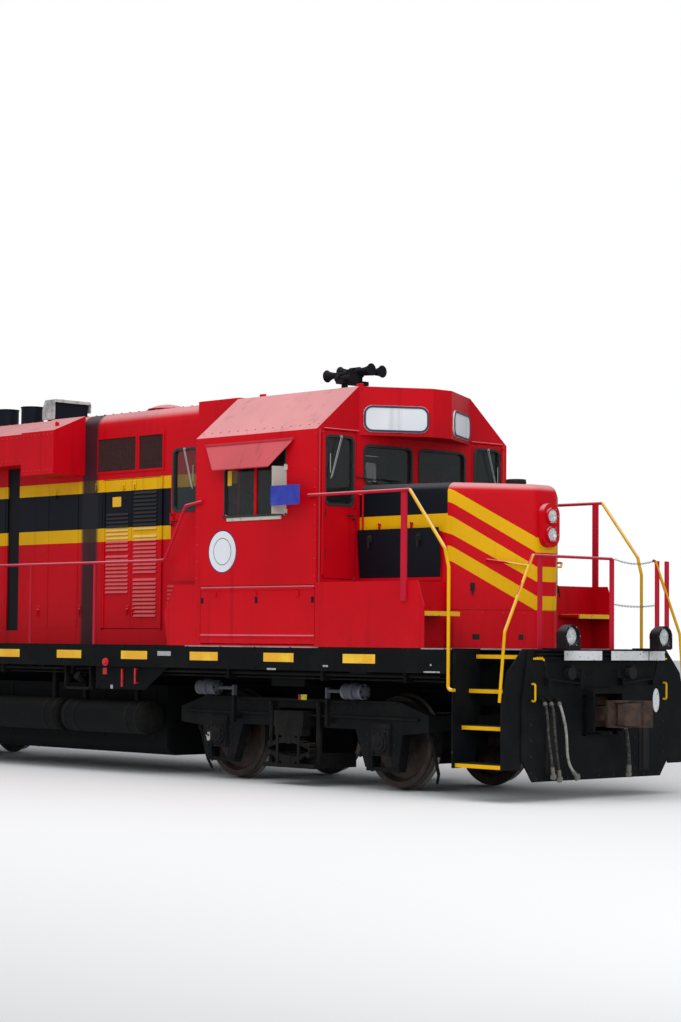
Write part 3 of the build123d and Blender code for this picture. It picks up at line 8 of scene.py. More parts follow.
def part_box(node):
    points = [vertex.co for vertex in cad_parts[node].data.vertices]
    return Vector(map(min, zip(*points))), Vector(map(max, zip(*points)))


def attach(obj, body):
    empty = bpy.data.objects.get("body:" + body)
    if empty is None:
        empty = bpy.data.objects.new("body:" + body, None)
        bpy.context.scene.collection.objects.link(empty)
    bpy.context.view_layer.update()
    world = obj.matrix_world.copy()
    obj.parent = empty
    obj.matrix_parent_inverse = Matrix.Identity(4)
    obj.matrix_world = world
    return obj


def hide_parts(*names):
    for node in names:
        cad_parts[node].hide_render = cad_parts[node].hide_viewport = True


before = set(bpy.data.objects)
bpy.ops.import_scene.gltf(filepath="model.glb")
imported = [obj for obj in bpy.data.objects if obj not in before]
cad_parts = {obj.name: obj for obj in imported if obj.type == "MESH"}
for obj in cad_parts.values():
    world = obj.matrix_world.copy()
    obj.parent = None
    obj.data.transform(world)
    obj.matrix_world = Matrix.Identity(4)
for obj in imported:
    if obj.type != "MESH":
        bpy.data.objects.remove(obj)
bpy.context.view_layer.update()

# Camera: a long lens at a standing person's height, ahead of the nose on the right-hand side.
# It was solved from the wheel spacing, the wheel size and the coupler's height over the rail.
lens_data = bpy.data.cameras.new("camera")
lens_data.lens = 80.764
lens_data.sensor_width = 36
lens_data.clip_end = 500
camera = bpy.data.objects.new("camera", lens_data)
bpy.context.collection.objects.link(camera)
turn = Matrix.Rotation(radians(46.536), 4, "Z") @ Matrix.Rotation(radians(93.215), 4, "X")
stand = Matrix.Translation((24.171, -18.878, 1.662))
camera.matrix_world = stand @ turn @ Matrix.Rotation(radians(0.475), 4, "Z")
bpy.context.scene.camera = camera


# Air hoses at the front: rubber tubes with braid under the skin, clamped on elbows in the end
# plate. Three thin ones hang at the right, the innermost is weathered pale, and a thick one by the coupler.
class Link:
    """Socket of a node that takes arithmetic."""

    def __init__(self, owner, socket):
        self.owner = owner
        self.socket = socket

    def maths(self, operation, *values):
        return self.owner.node("ShaderNodeMath", {"operation": operation}, dict(enumerate(values)))

    def __add__(self, other):
        return self.maths("ADD", self, other)

    def __sub__(self, other):
        return self.maths("SUBTRACT", self, other)

    def __rsub__(self, other):
        return self.maths("SUBTRACT", other, self)

    def __mul__(self, other):
        return self.maths("MULTIPLY", self, other)

    def __truediv__(self, other):
        return self.maths("DIVIDE", self, other)

    def __gt__(self, other):
        return self.maths("GREATER_THAN", self, other)

    def __lt__(self, other):
        return self.maths("LESS_THAN", self, other)

    def __abs__(self):
        return self.maths("ABSOLUTE", self)

    __radd__ = __add__
    __rmul__ = __mul__

    def inside(self, low, high):
        return (self > low) * (self < high)

    def ramp(self, low, high):
        smooth = {"interpolation_type": "SMOOTHSTEP"}
        return self.owner.node("ShaderNodeMapRange", smooth, {0: self, 1: low, 2: high})

    def either(self, other):
        return self.maths("MAXIMUM", self, other)


class Nodes:
    """Node tree whose nodes are added by a single method."""

    def node(self, kind, settings, sockets, output=0):
        made = self.tree.nodes.new(kind)
        for name, value in settings.items():
            setattr(made, name, value)
        for key, value in sockets.items():
            socket = made.inputs[key]
            if isinstance(value, Link):
                self.tree.links.new(value.socket, socket)
            elif isinstance(value, tuple) and len(value) == 3 and socket.type == "RGBA":
                socket.default_value = (*value, 1)
            else:
                socket.default_value = value
        return Link(self, made.outputs[output])


class Finish(Nodes):
    """Material in the coordinates of the object that wears it."""

    def __init__(self, name):
        self.material = bpy.data.materials.new(name)
        self.material.use_nodes = True
        self.tree = self.material.node_tree
        self.tree.nodes.clear()
        self.place = self.node("ShaderNodeTexCoord", {}, {}, "Object")
        self.x, self.y, self.z = (self.part_of(self.place, k) for k in range(3))
        self.up = self.part_of(self.node("ShaderNodeNewGeometry", {}, {}, "Normal"), 2)

    def part_of(self, vector, k):
        return self.node("ShaderNodeSeparateXYZ", {}, {0: vector}, k)

    def blend(self, amount, first, second):
        """Colour that goes from first to second."""
        return self.node("ShaderNodeMix", {"data_type": "RGBA"}, {0: amount, 6: first, 7: second}, 2)

    def shade(self, amount, colour, tint):
        """Colour darkened towards itself times tint."""
        multiply = {"data_type": "RGBA", "blend_type": "MULTIPLY"}
        return self.node("ShaderNodeMix", multiply, {0: amount, 6: colour, 7: tint}, 2)

    def noise(self, scale, detail=4, stretch=(1, 1, 1), shift=0):
        """Cloudy value about one half, drawn out along the axes whose stretch is small."""
        moved = {0: self.place, "Location": (shift, shift, shift), "Scale": stretch}
        place = self.node("ShaderNodeMapping", {}, moved)
        cloud = {"Vector": place, "Scale": scale, "Detail": detail, "Roughness": 0.6}
        return self.node("ShaderNodeTexNoise", {}, cloud)

    def distance(self, x, z):
        """Length of the offsets x and z taken together."""
        offset = self.node("ShaderNodeCombineXYZ", {}, {0: x, 2: z})
        return self.node("ShaderNodeVectorMath", {"operation": "LENGTH"}, {0: offset}, "Value")

    def surface(self, colour, rough, height=None, metal=0.0, step=0.002, coat=0.0, specular=0.5):
        """Outer skin from a colour, a roughness and a height in units of step."""
        sockets = {"Base Color": colour, "Roughness": rough, "Metallic": metal, "Coat Weight": coat,
                   "Coat Roughness": 0.25, "Specular IOR Level": specular}
        if height is not None:
            bump = {"Strength": 0.6, "Distance": step, "Height": height}
            sockets["Normal"] = self.node("ShaderNodeBump", {}, bump)
        self.close(self.node("ShaderNodeBsdfPrincipled", {}, sockets))

    def close(self, skin):
        end = self.tree.nodes.new("ShaderNodeOutputMaterial")
        self.tree.links.new(skin.socket, end.inputs[0])


def worn(name, scale, detail, span, first, second, rough, more_rough, metal=0.0, step=0.002):
    """Finish that goes from first to second where its noise passes through span, and roughens there."""
    finish = Finish(name)
    cloud = finish.noise(scale, detail)
    amount = cloud.ramp(*span) if span else cloud
    finish.surface(finish.blend(amount, first, second), rough + cloud * more_rough, cloud, metal, step)
    return finish


def solid_piece(name, data, finish, body="root"):
    """Object at the origin from a finished mesh, with its finish and its body."""
    data.name = name
    made = bpy.data.objects.new(name, data)
    data.materials.clear()
    data.materials.append(finish.material)
    bpy.context.collection.objects.link(made)
    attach(made, body)
    return made


alone = ((1, 1),)
sides = ((1, -1), (1, 1))
ends = ((1, 1), (-1, 1))
corners = sides + ((-1, -1), (-1, 1))


class Shape:
    """Mesh in the making. Bars and rods are repeated for each pair of signs of X and Y in flips."""

    def __init__(self, flips=alone):
        self.mesh = bmesh.new()
        self.flips = flips

    def link(self, start, end, radius, facets=12, end_radius=None):
        """Round bar between two points, closed at both ends."""
        turn = (end - start).to_track_quat("Z", "Y").to_matrix().to_4x4()
        place = Matrix.Translation((start + end) / 2) @ turn
        end_radius = radius if end_radius is None else end_radius
        bmesh.ops.create_cone(self.mesh, cap_ends=True, segments=facets, radius1=radius, radius2=end_radius,
                              depth=(end - start).length, matrix=place)

    def rod(self, x, y, z, radius, facets=12, end_radius=None):
        """Round bar along which each coordinate stays, or goes through its pair."""
        x, y, z = (value if isinstance(value, tuple) else (value, value) for value in (x, y, z))
        for u, v in self.flips:
            start, end = (Vector((u * x[k], v * y[k], z[k])) for k in (0, 1))
            self.link(start, end, radius, facets, end_radius)

    def bar(self, x, y, z):
        """Square-edged bar between the pairs x, y and z."""
        size = Matrix.Diagonal((abs(x[1] - x[0]), abs(y[1] - y[0]), abs(z[1] - z[0]), 1))
        for u, v in self.flips:
            place = Matrix.Translation((u * sum(x) / 2, v * sum(y) / 2, sum(z) / 2))
            bmesh.ops.create_cube(self.mesh, size=1, matrix=place @ size)

    def piece(self, name, finish, slot, body="root", edge=0, shell=0):
        """Object from the mesh, with small rounded edges, or smooth with the thickness shell."""
        bmesh.ops.recalc_face_normals(self.mesh, faces=self.mesh.faces)
        data = bpy.data.meshes.new(name)
        self.mesh.to_mesh(data)
        self.mesh.free()
        made = solid_piece(name, data, finish, body)
        if edge:
            bevel = made.modifiers.new("edge", "BEVEL")
            bevel.width = edge
            bevel.segments = 2
            bevel.limit_method = "ANGLE"
        if shell:
            data.polygons.foreach_set("use_smooth", [True] * len(data.polygons))
            made.modifiers.new("shell", "SOLIDIFY").thickness = shell
        return made


# Columns: colour, radius, length, and the points of the route from the elbow down.
hoses = {
    "hose_outer": ((0.005, 0.006, 0.007), 0.015, 0.727, [
        (8.345, -.945, 1.025), (8.365, -.945, .997), (8.376, -.943, .94), (8.379, -.934, .84),
        (8.373, -.915, .7), (8.366, -.884, .56), (8.358, -.848, .43), (8.351, -.818, .32)]),
    "hose_middle": ((0.006, 0.007, 0.008), 0.015, 0.756, [
        (8.345, -.845, 1.025), (8.365, -.845, .997), (8.377, -.842, .938), (8.38, -.832, .825),
        (8.374, -.808, .67), (8.366, -.776, .52), (8.357, -.742, .39), (8.35, -.716, .29)]),
    "hose_inner": ((0.34, 0.33, 0.30), 0.015, 0.808, [
        (8.345, -.72, 1.025), (8.365, -.72, .997), (8.38, -.712, .945), (8.388, -.69, .868),
        (8.392, -.661, .76), (8.39, -.645, .64), (8.388, -.637, .52), (8.384, -.612, .42),
        (8.378, -.562, .34), (8.371, -.492, .284)]),
    "brake_hose": ((0.009, 0.010, 0.010), 0.022, 0.45, [
        (8.345, .345, .75), (8.365, .345, .722), (8.378, .349, .668), (8.384, .358, .58),
        (8.385, .368, .48), (8.381, .378, .39), (8.375, .386, .31)]),
}
for name, (colour, radius, length, route) in hoses.items():
    rubber = Finish(name)
    grime = rubber.noise(30, 5)
    slanting = {"bands_direction": "DIAGONAL"}
    braid = rubber.node("ShaderNodeTexWave", slanting, {"Vector": rubber.place, "Scale": 90.0})
    tone = rubber.blend(grime.ramp(0.4, 0.75), colour, (0.10, 0.09, 0.075))
    rubber.surface(tone, 0.55 + grime * 0.3, braid + grime, step=0.0012)
    curve = bpy.data.curves.new(name, "CURVE")
    curve.dimensions = "3D"
    spline = curve.splines.new("NURBS")
    spline.points.add(len(route) - 1)
    for point, place in zip(spline.points, route):
        point.co = (*place, 1)
    spline.order_u = 3
    spline.use_endpoint_u = True
    spline.resolution_u = 12
    curve.bevel_depth = radius
    curve.bevel_resolution = 4
    curve.use_fill_caps = True
    curve.materials.append(rubber.material)
    hose = bpy.data.objects.new("cord_" + name, curve)
    bpy.context.collection.objects.link(hose)
    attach(hose, "root")
    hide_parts(name)

    # Fittings of this hose: crimped sleeves, the coupling head with its face gasket, and lugs.
    # Zinc-plated steel and cast iron, dusty from the road.
    casting = worn("fitting_" + name, 60, 4, None, (0.05, 0.045, 0.04), (0.30, 0.28, 0.25), 0.5, 0.3, 0.4)
    top, foot = Vector(route[0]), Vector(route[-1])
    way = (Vector(route[1]) - top).normalized()
    down = (foot - Vector(route[-2])).normalized()
    head = foot + down * 0.062
    ahead = Vector((1, 0, 0))
    across = Vector((0, down.z, -down.y))
    sleeve, collar = radius + 0.006, radius + 0.0085
    shape = Shape()
    for origin, along, low, high, thick, facets in (
            (top, way, -0.002, 0.03, sleeve, 16), (top, way, 0.004, 0.008, collar, 16),
            (top, way, 0.013, 0.017, collar, 16), (top, way, 0.022, 0.026, collar, 16),
            (foot, down, -0.04, 0.03, sleeve, 16), (foot, down, -0.012, -0.004, radius + 0.009, 16),
            (head, ahead, -0.017, 0.011, 0.034, 20), (head, ahead, 0.011, 0.017, 0.024, 20),
            (head, across, -0.04, 0.045, 0.011, 10), (foot, down, 0.02, 0.062, 0.019, 12)):
        shape.link(origin + along * low, origin + along * high, thick, facets)
    fitting = shape.piece("fittings_" + name, casting, "cast_steel", edge=0.0015)
    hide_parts("glad_hands")
    2 * radius


# Underframe: welded side sills, bolsters and deck plates in black, with the drop plate at the
# right-hand and left-hand side that carries the emergency fuel cut-off.
sooty_black = (0.0035, 0.0042, 0.005)


def cover(node, finish):
    """Gives a node of the frame its finish."""
    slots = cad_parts[node].material_slots
    for slot in slots:
        slot.material = finish.material
    if not slots:
        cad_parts[node].data.materials.append(finish.material)


def dark_over(finish, colour, dust=0.22):
    """Weathers a dark painted colour, grey with dust where it lies flat, and closes the finish."""
    cloud = finish.noise(2.5, 5)
    speck = finish.noise(40, 4)
    grime = (cloud.ramp(0.42, 0.72) * 0.6 + speck.ramp(0.5, 0.8) * 0.4) * (dust * 0.35)
    flat = finish.up.ramp(0.3, 0.9) * (dust * 0.5)
    tone = finish.blend(grime.either(flat), colour, (0.10, 0.085, 0.07))
    finish.surface(tone, 0.45 + cloud * 0.3, cloud * 0.6 + speck * 0.3, step=0.003, specular=0.06)
    return finish


def dark_paint(name, colour=sooty_black, dust=0.22):
    """Black paint on frames and castings."""
    return dark_over(Finish(name), colour, dust)


finish = Finish("underframe_black")
# Painted highlight: pale grey patches along the top edge of the deck, by the cab and at both ends.
deck_edge_highlight = (finish.z > 1.5695) * finish.noise(0.6, 4).ramp(0.38, 0.5)
deck_edge_highlight = deck_edge_highlight * finish.x.inside(3.25, 5.56).either(abs(finish.x) > 7.15)
cover("underframe", dark_over(finish, finish.blend(deck_edge_highlight * 0.8, sooty_black, (0.34, 0.35, 0.35))))
cover("fuel_tank", dark_paint("tank_black"))
cover("air_reservoirs", dark_paint("reservoir_black"))
cover("draft_gear", dark_paint("draft_gear_steel", (0.05, 0.03, 0.02), 0.5))


# Bolt heads along the side sills and drop plates: black steel hexagons set on the surface that they
# hold, from loose points that carry a direction.
class Pattern(Nodes):
    """Geometry nodes with named inputs, ending in plain faces with one finish."""

    def __init__(self, name, inputs):
        self.tree = bpy.data.node_groups.new(name, "GeometryNodeTree")
        faces = self.tree.interface
        faces.new_socket("Geometry", in_out="INPUT", socket_type="NodeSocketGeometry")
        for label, value in inputs.items():
            kind = {int: "NodeSocketInt", float: "NodeSocketFloat", tuple: "NodeSocketVector"}[type(value)]
            faces.new_socket(label, in_out="INPUT", socket_type=kind).default_value = value
        faces.new_socket("Material", in_out="INPUT", socket_type="NodeSocketMaterial")
        faces.new_socket("Geometry", in_out="OUTPUT", socket_type="NodeSocketGeometry")
        self.start = self.tree.nodes.new("NodeGroupInput")

    def given(self, label):
        return Link(self, self.start.outputs[label])

    def facing(self):
        """Rotation that turns Z along the direction that each point carries."""
        way = self.node("GeometryNodeInputNamedAttribute", {"data_type": "FLOAT_VECTOR"}, {"Name": "facing"})
        return self.node("FunctionNodeAlignRotationToVector", {"axis": "Z"}, {"Vector": way})

    def place(self, sockets):
        """Instances on the given points, made real, with the given material."""
        spread = self.node("GeometryNodeInstanceOnPoints", {}, {0: self.given("Geometry"), **sockets})
        self.end(spread)

    def end(self, geometry):
        plain = self.node("GeometryNodeRealizeInstances", {}, {0: geometry})
        dressed = self.node("GeometryNodeSetMaterial", {}, {0: plain, "Material": self.given("Material")})
        self.tree.links.new(dressed.socket, self.tree.nodes.new("NodeGroupOutput").inputs[0])

    def make(self, name, data, values, finish, slot, body="root"):
        """Runs the pattern on a mesh and leaves one plain piece."""
        seed = bpy.data.objects.new(name, data)
        bpy.context.collection.objects.link(seed)
        step = seed.modifiers.new("pattern", "NODES")
        step.node_group = self.tree
        values = {**values, "Material": finish.material}
        for item in self.tree.interface.items_tree:
            if item.in_out == "INPUT" and item.name in values:
                step[item.identifier] = values[item.name]
        faces = bpy.data.meshes.new_from_object(seed.evaluated_get(bpy.context.evaluated_depsgraph_get()))
        bpy.data.objects.remove(seed)
        return solid_piece(name, faces, finish, body)


def marks(rows):
    """Mesh of loose points, each with the way that its fitting faces."""
    data = bpy.data.meshes.new("marks")
    data.from_pydata([place for place, way in rows], [], [])
    facing = data.attributes.new("facing", "FLOAT_VECTOR", "POINT")
    for item, (place, way) in zip(facing.data, rows):
        item.vector = way
    return data


def line(start, end, count):
    """Evenly spaced points from start to end."""
    return [tuple(Vector(start).lerp(Vector(end), k / max(count - 1, 1))) for k in range(count)]


def row(way, start, end=None, count=1, flips=sides):
    """Marks from start to end that face way, repeated for each pair of signs in flips."""
    places = line(start, end or start, count)
    return [((u * x, v * y, z), (u * way[0], v * way[1], way[2])) for u, v in flips for x, y, z in places]


def bolts(name, rows, radius, height, finish, slot, body="root"):
    """Bolt heads at the marks in rows."""
    return bolt_heads.make(name, marks(rows), {"Radius": radius, "Height": height}, finish, slot, body)


def about(middle, half):
    """Pair that lies half below and half above the middle."""
    return middle - half, middle + half


outward, upward = (0, 1, 0), (0, 0, 1)
bolt_heads = Pattern("bolt_heads", {"Radius": 0.012, "Height": 0.008})
foot_radius = bolt_heads.given("Radius")
bolt_heads.place({"Rotation": bolt_heads.facing(), "Instance": bolt_heads.node("GeometryNodeMeshCone", {}, {
    "Vertices": 6, "Radius Top": foot_radius * 0.88, "Radius Bottom": foot_radius,
    "Depth": bolt_heads.given("Height")})})
rows = row(outward, (1.52, 1.5065, 1.06), (2.36, 1.5065, 1.06), 5)
for z in (1.335, 1.565):
    rows += row(outward, (-7.5, 1.561, z), (7.5, 1.561, z), 26)
bolts("sill_bolts", rows, 0.014, 0.009, dark_paint("bolt_black", dust=0.6), "black_enamel")

# Reflective strips along the side sills: amber sheet, half a metre long, a little unevenly faded.
# Eleven stand on each side, stuck to the web of the sill.
amber = Finish("reflector_amber")
age = amber.noise(3, 3)
cells = amber.node("ShaderNodeTexVoronoi", {}, {"Vector": amber.place, "Scale": 220.0})
tone = amber.blend(age.ramp(0.4, 0.65), (0.80, 0.40, 0.004), (0.86, 0.54, 0.02))
tone = amber.blend(amber.noise(30, 4).ramp(0.6, 0.8) * 0.5, tone, (0.25, 0.16, 0.06))
amber.surface(tone, 0.35 + age * 0.2, cells, step=0.0004)
shape = Shape(sides)
for k in range(11):
    low = 5.957 - 1.306 * k
    shape.bar((low, low + 0.505), (1.561, 1.5655), (1.408, 1.508))
shape.piece("sill_reflectors", amber, "white_panel", edge=0.001)

# Emergency fuel cut-off and handles on the drop plates: a red push button in its guard, a blank red
# plate, a red bar and a red pull handle.
drop_y = 1.506
safety_red = worn("safety_red", 14, 4, (0.5, 0.8), (0.56, 0.006, 0.01), (0.10, 0.02, 0.02), 0.4, 0.2)
shape = Shape(sides)
shape.rod(1.738, (1.561, 1.585), 1.367, 0.052, 24, 0.046)
shape.rod(1.738, (1.58, 1.60), 1.367, 0.030, 20, 0.026)
shape.bar((1.61, 1.69), (drop_y, drop_y + 0.004), (1.215, 1.295))
shape.bar((1.993, 2.019), (drop_y, drop_y + 0.020), (1.068, 1.288))
shape.rod(2.30, drop_y + 0.045, (1.11, 1.298), 0.012)
for z in (1.12, 1.288):
    shape.rod(2.30, (drop_y - 0.004, drop_y + 0.052), z, 0.009)
shape.piece("cut_off_handles", safety_red, "red_enamel", edge=0.0015)

# Brackets and pipes under the sill: train-line air pipes clamped along both sides, and a bracket
# with a filler neck beside each drop plate.
pipe_iron = dark_paint("pipe_iron", (0.006, 0.006, 0.006), 0.4)
shape = Shape(sides)
for y, z, radius in ((1.40, 1.28, 0.021), (1.33, 1.27, 0.016), (1.34, 1.23, 0.012)):
    shape.rod((-7.3, 7.3), y, z, radius, 10)
for x in (-6.6, -5.2, -3.6, -2.2, -0.6, 0.9, 2.6, 3.9, 5.5, 6.8):
    shape.bar(about(x, 0.02), (1.30, 1.45), (1.205, 1.318))
for x in (0.80, 1.31):
    shape.bar((x, x + 0.03), (1.42, 1.49), (1.02, 1.32))
shape.bar((0.78, 1.36), (1.40, 1.49), (1.02, 1.05))
shape.rod(1.07, (1.38, 1.50), (1.12, 1.20), 0.045, 16, 0.055)
shape.piece("sill_pipes", pipe_iron, "black_enamel", edge=0.002)

# Small marks by the front truck: pale strips and a blank plate along the sill, a white square on the
# drop plate, and a yellow and red tag wired to the brake cylinder bracket.
strip = worn("pale_strip", 30, 4, (0.5, 0.7), (0.36, 0.37, 0.37), (0.10, 0.10, 0.10), 0.6, 0.2)
shape = Shape(sides)
for x, z, long, high in ((7.315, 1.331, 0.235, 0.016), (4.787, 1.326, 0.15, 0.02),
                         (2.866, 1.482, 0.25, 0.055), (5.68, 1.372, 0.08, 0.02), (7.30, 1.405, 0.02, 0.02)):
    shape.bar(about(x, long / 2), (1.5595, 1.5645), about(z, high / 2))
shape.bar((1.77, 1.815), (drop_y, drop_y + 0.0055), (1.042, 1.088))
shape.piece("sill_strips", strip, "white_panel", edge=0.001)
tag = Finish("brake_tag")
grime = tag.noise(40, 4)
tone = tag.blend(tag.x > 4.815, (0.35, 0.02, 0.02), (0.70, 0.62, 0.02))
tag.surface(tag.blend(grime.ramp(0.55, 0.75), tone, (0.10, 0.09, 0.06)), 0.6 + grime * 0.2, grime)
shape = Shape()
shape.bar((4.765, 4.905), (-1.128, -1.118), (0.965, 1.035))
shape.piece("truck_tag", tag, "white_panel", "truck_front", 0.001)

# Fuel tank trim: sight gauge, drain plugs, and weld straps over the barrel, all of them black steel
# welded or screwed to the tank's shell.
shape = Shape(sides)
shape.bar((-1.62, -1.56), (0.999, 1.012), (0.45, 0.95))
shape.rod(-1.59, 1.008, (0.47, 0.93), 0.016)
for x in (-2.0, -1.0, 0.0, 1.0, 2.0):
    shape.bar(about(x, 0.025), (0.995, 1.006), (0.42, 1.07))
shape.flips = alone
for x in (-1.5, 1.5):
    shape.rod(x, 0, (0.212, 0.232), 0.04, 6)
shape.piece("tank_trim", pipe_iron, "black_enamel", edge=0.002)

# Reservoir trim: dished heads, weld seams and the bands that hold each barrel, rolled from black
# steel. Two reservoirs lie in line on each side.
shape = Shape(sides)
barrel_y, barrel_z = 1.26, 0.693
for low, high in ((-2.3, 0.56), (0.7, 2.25)):
    for x, way in ((low, -0.012), (high, 0.012)):
        for k in range(4):
            near, far = (0.2 * cos(pi / 2 * j / 4.4) for j in (k, k + 1))
            shape.rod((x + way * k, x + way * (k + 1)), barrel_y, barrel_z, near, 32, far)
    for x in (low + 0.06, low + 0.25, high - 0.25, high - 0.06):
        shape.rod(about(x, 0.02), barrel_y, barrel_z, 0.209, 32)
shape.piece("reservoir_bands", pipe_iron, "black_enamel")

# Motor air ducts: long sheet-steel boxes that hang under the centre sills over each truck, black,
# above the reach of the wheels and the truck frames when the truck swivels.
shape = Shape(corners)
shape.bar((2.72, 7.42), (0.330, 0.405), (0.958, 1.0875))
for k in range(9):
    shape.bar(about(2.76 + 0.575 * k, 0.012), (0.402, 0.412), (0.962, 1.087))
shape.piece("motor_air_ducts", dark_paint("duct_black"), "black_enamel", edge=0.002)

# Pilots: end plates with stairwells, black, with safety yellow on the step lips, the grab irons and
# the ends of the uncoupling levers. Each tread is given by its outer edge and its height.
yellow = (0.74, 0.40, 0.002)
step_edges = ((1.50, 0.388), (1.40, 0.778), (1.29, 1.158), (1.18, 1.518))
for end, name in ((1, "pilot_front"), (-1, "pilot_rear")):
    finish = Finish(name + "_black")
    away = abs(finish.y)
    ahead = finish.x * end
    bright = (ahead > 8.29) * away.inside(1.062, 1.095) * (finish.z > 1.0)
    bright = bright.either((ahead > 8.30) * (away > 0.93) * finish.z.inside(1.46, 1.51))
    for edge, tread in step_edges:
        lip = away.inside(edge - 0.0125, edge + 0.001) * finish.z.inside(tread - 0.041, tread + 0.001)
        bright = bright.either(ahead.inside(7.58, 8.2355) * lip)
    cover(name, dark_over(finish, finish.blend(bright, (0.005, 0.006, 0.007), yellow), 0.3))

# Blank white plates on the front anti-climber and an oval one by the coupler: painted sheet, chipped
# and dirty, each held by bolts.
plate_white = Finish("plate_white")
chips = plate_white.noise(35, 5)
tone = plate_white.blend(chips.ramp(0.60, 0.66), (0.66, 0.68, 0.70), (0.08, 0.07, 0.06))
tone = plate_white.blend(plate_white.noise(4, 4).ramp(0.4, 0.8) * 0.5, tone, (0.36, 0.34, 0.30))
plate_white.surface(tone, 0.5 + chips * 0.2, chips, step=0.0008)
shape = Shape()
for low, high in ((-0.630, -0.019), (0.133, 0.760), (0.775, 1.045)):
    shape.bar((8.339, 8.3435), (low, high), (1.466, 1.566))
oval = Matrix.Translation((8.279, 0.968, 1.03)) @ Matrix.Diagonal((0.006, 0.11, 0.26, 1))
bmesh.ops.create_cone(shape.mesh, cap_ends=True, segments=28, radius1=0.5, radius2=0.5, depth=1,
                      matrix=oval @ Matrix.Rotation(pi / 2, 4, "Y"))
shape.piece("blank_plates", plate_white, "white_panel", edge=0.0015)

# Pilot fittings at both ends: bolts round the plate, cable sockets with lids, hooks, chain hangers
# and brackets behind the steps, black and dusty.
fitting_black = dark_paint("fitting_black", (0.016, 0.016, 0.017), 0.5)
plate_x = 8.272
for end, body_end in ((1, "front"), (-1, "rear")):
    flips = ((end, -1), (end, 1))
    rows = row((1, 0, 0), (8.2745, -1.0, 0.24), (8.2745, 1.0, 0.24), 9, flips[1:])
    rows += row(outward, (7.6, 1.5395, 0.50), flips=flips)
    for y in (0.6, 1.08):
        rows += row((1, 0, 0), (8.2745, y, 0.30), (8.2745, y, 0.80), 4, flips)
    for edge, tread in step_edges:
        rows += row(upward, (7.64, edge - 0.24, tread - 0.001), (8.2, edge - 0.24, tread - 0.001), 4, flips)
    bolts(f"pilot_bolts_{body_end}", rows, 0.015, 0.010, fitting_black, "black_enamel")
    shape = Shape(flips)
    shape.rod((plate_x, 8.33), 0.50, 1.33, 0.062, 20, 0.055)
    shape.rod((8.33, 8.342), 0.50, 1.33, 0.066, 20)
    shape.bar((plate_x, 8.35), about(0.50, 0.012), (1.392, 1.41))
    shape.rod((8.27, 8.31), 0.30, 1.36, 0.007)
    shape.rod(8.307, 0.30, (1.364, 1.28), 0.007)
    shape.rod((8.307, 8.34), 0.30, (1.284, 1.29), 0.007)
    shape.bar((plate_x, 8.30), (0.72, 0.80), (0.30, 0.90))
    shape.bar((plate_x, 8.284), (0.68, 0.84), (0.28, 0.92))
    shape.flips = flips[1:]
    shape.rod((8.2, 8.45), 0, 0.70, 0.02)
    shape.piece(f"pilot_fittings_{body_end}", fitting_black, "black_enamel", edge=0.003)

# Step treads: open steel grating, bars on edge across each step and five along it, bitten so that
# boots hold, and grey with dust.
slats = Pattern("slats", {"Size": (0.02, 0.02, 0.02)})
slats.place({"Instance": slats.node("GeometryNodeMeshCube", {}, {"Size": slats.given("Size")})})
grating_steel = dark_paint("grating_steel", (0.03, 0.03, 0.03), 0.8)
rows = []
shape = Shape(corners)
for edge, tread in step_edges:
    rows += row(upward, (7.61, edge - 0.14, tread + 0.003), (8.23, edge - 0.14, tread + 0.003), 22, corners)
    for k in range(5):
        shape.bar((7.60, 8.24), about(edge - 0.03 - 0.055 * k, 0.002), (tread - 0.002, tread + 0.006))
slats.make("step_gratings", marks(rows), {"Size": (0.006, 0.24, 0.010)}, grating_steel, "black_enamel")
shape.piece("step_grating_bars", grating_steel, "black_enamel")

# Coupler pockets: plates that line the opening in each end plate, back to the draft gear, black
# and greasy, so that no daylight shows past the shank.
shape = Shape(corners)
shape.bar((7.62, 8.325), (0.252, 0.262), (0.672, 1.092))
shape.flips = ends
for low in (0.672, 1.082):
    shape.bar((7.62, 8.325), (-0.262, 0.262), (low, low + 0.010))
shape.bar((7.61, 7.62), (-0.262, 0.262), (0.672, 1.092))
shape.piece("coupler_pocket_plates", dark_paint("pocket_grease", (0.004, 0.004, 0.0045), 0.2), "black_enamel")

# Couplers: cast steel, rusted brown all over and darker where grease is left. The knuckle of each is
# a casting of its own that turns on a pin.
for name in ("coupler_front", "knuckle_front", "coupler_rear", "knuckle_rear"):
    rust = Finish(name)
    cloud = rust.noise(6, 6)
    pits = rust.noise(70, 4)
    tone = rust.blend(cloud.ramp(0.35, 0.65), (0.014, 0.009, 0.008), (0.065, 0.032, 0.020))
    tone = rust.blend(pits.ramp(0.55, 0.8), tone, (0.11, 0.050, 0.026))
    rust.surface(tone, 0.75 + cloud * 0.2, cloud + pits * 0.5, step=0.004)
    cover(name, rust)

# Trucks: cast side frames, bolsters, journal boxes and brake gear, all dark with oil and ballast
# dust. The brake cylinders are blue-grey, and one leg of each frame has a splash of white paint.
for end in ("front", "rear"):
    cover("truck_bolster_" + end, dark_paint(f"truck_bolster_{end}_iron", (0.008, 0.008, 0.008), 0.5))
    cover("truck_motors_" + end, dark_paint(f"truck_motors_{end}_iron", (0.005, 0.005, 0.006), 0.3))
    cover("journal_boxes_" + end, dark_paint(f"journal_boxes_{end}_iron", (0.012, 0.012, 0.014), 0.5))
    finish = Finish(f"truck_frame_{end}_iron")
    cylinders = (finish.z > 1.004) * (abs(finish.y) > 1.09)
    tone = finish.blend(cylinders, (0.006, 0.007, 0.008), (0.075, 0.082, 0.098))
    offset = finish.distance((finish.x - 3.145) * 1.2, finish.z - 0.495) + (finish.noise(24, 4) - 0.5) * 0.10
    tone = finish.blend((offset < 0.050) * (finish.y < -1.0), tone, (0.50, 0.50, 0.47))
    cover("truck_frame_" + end, dark_over(finish, tone, 0.4))


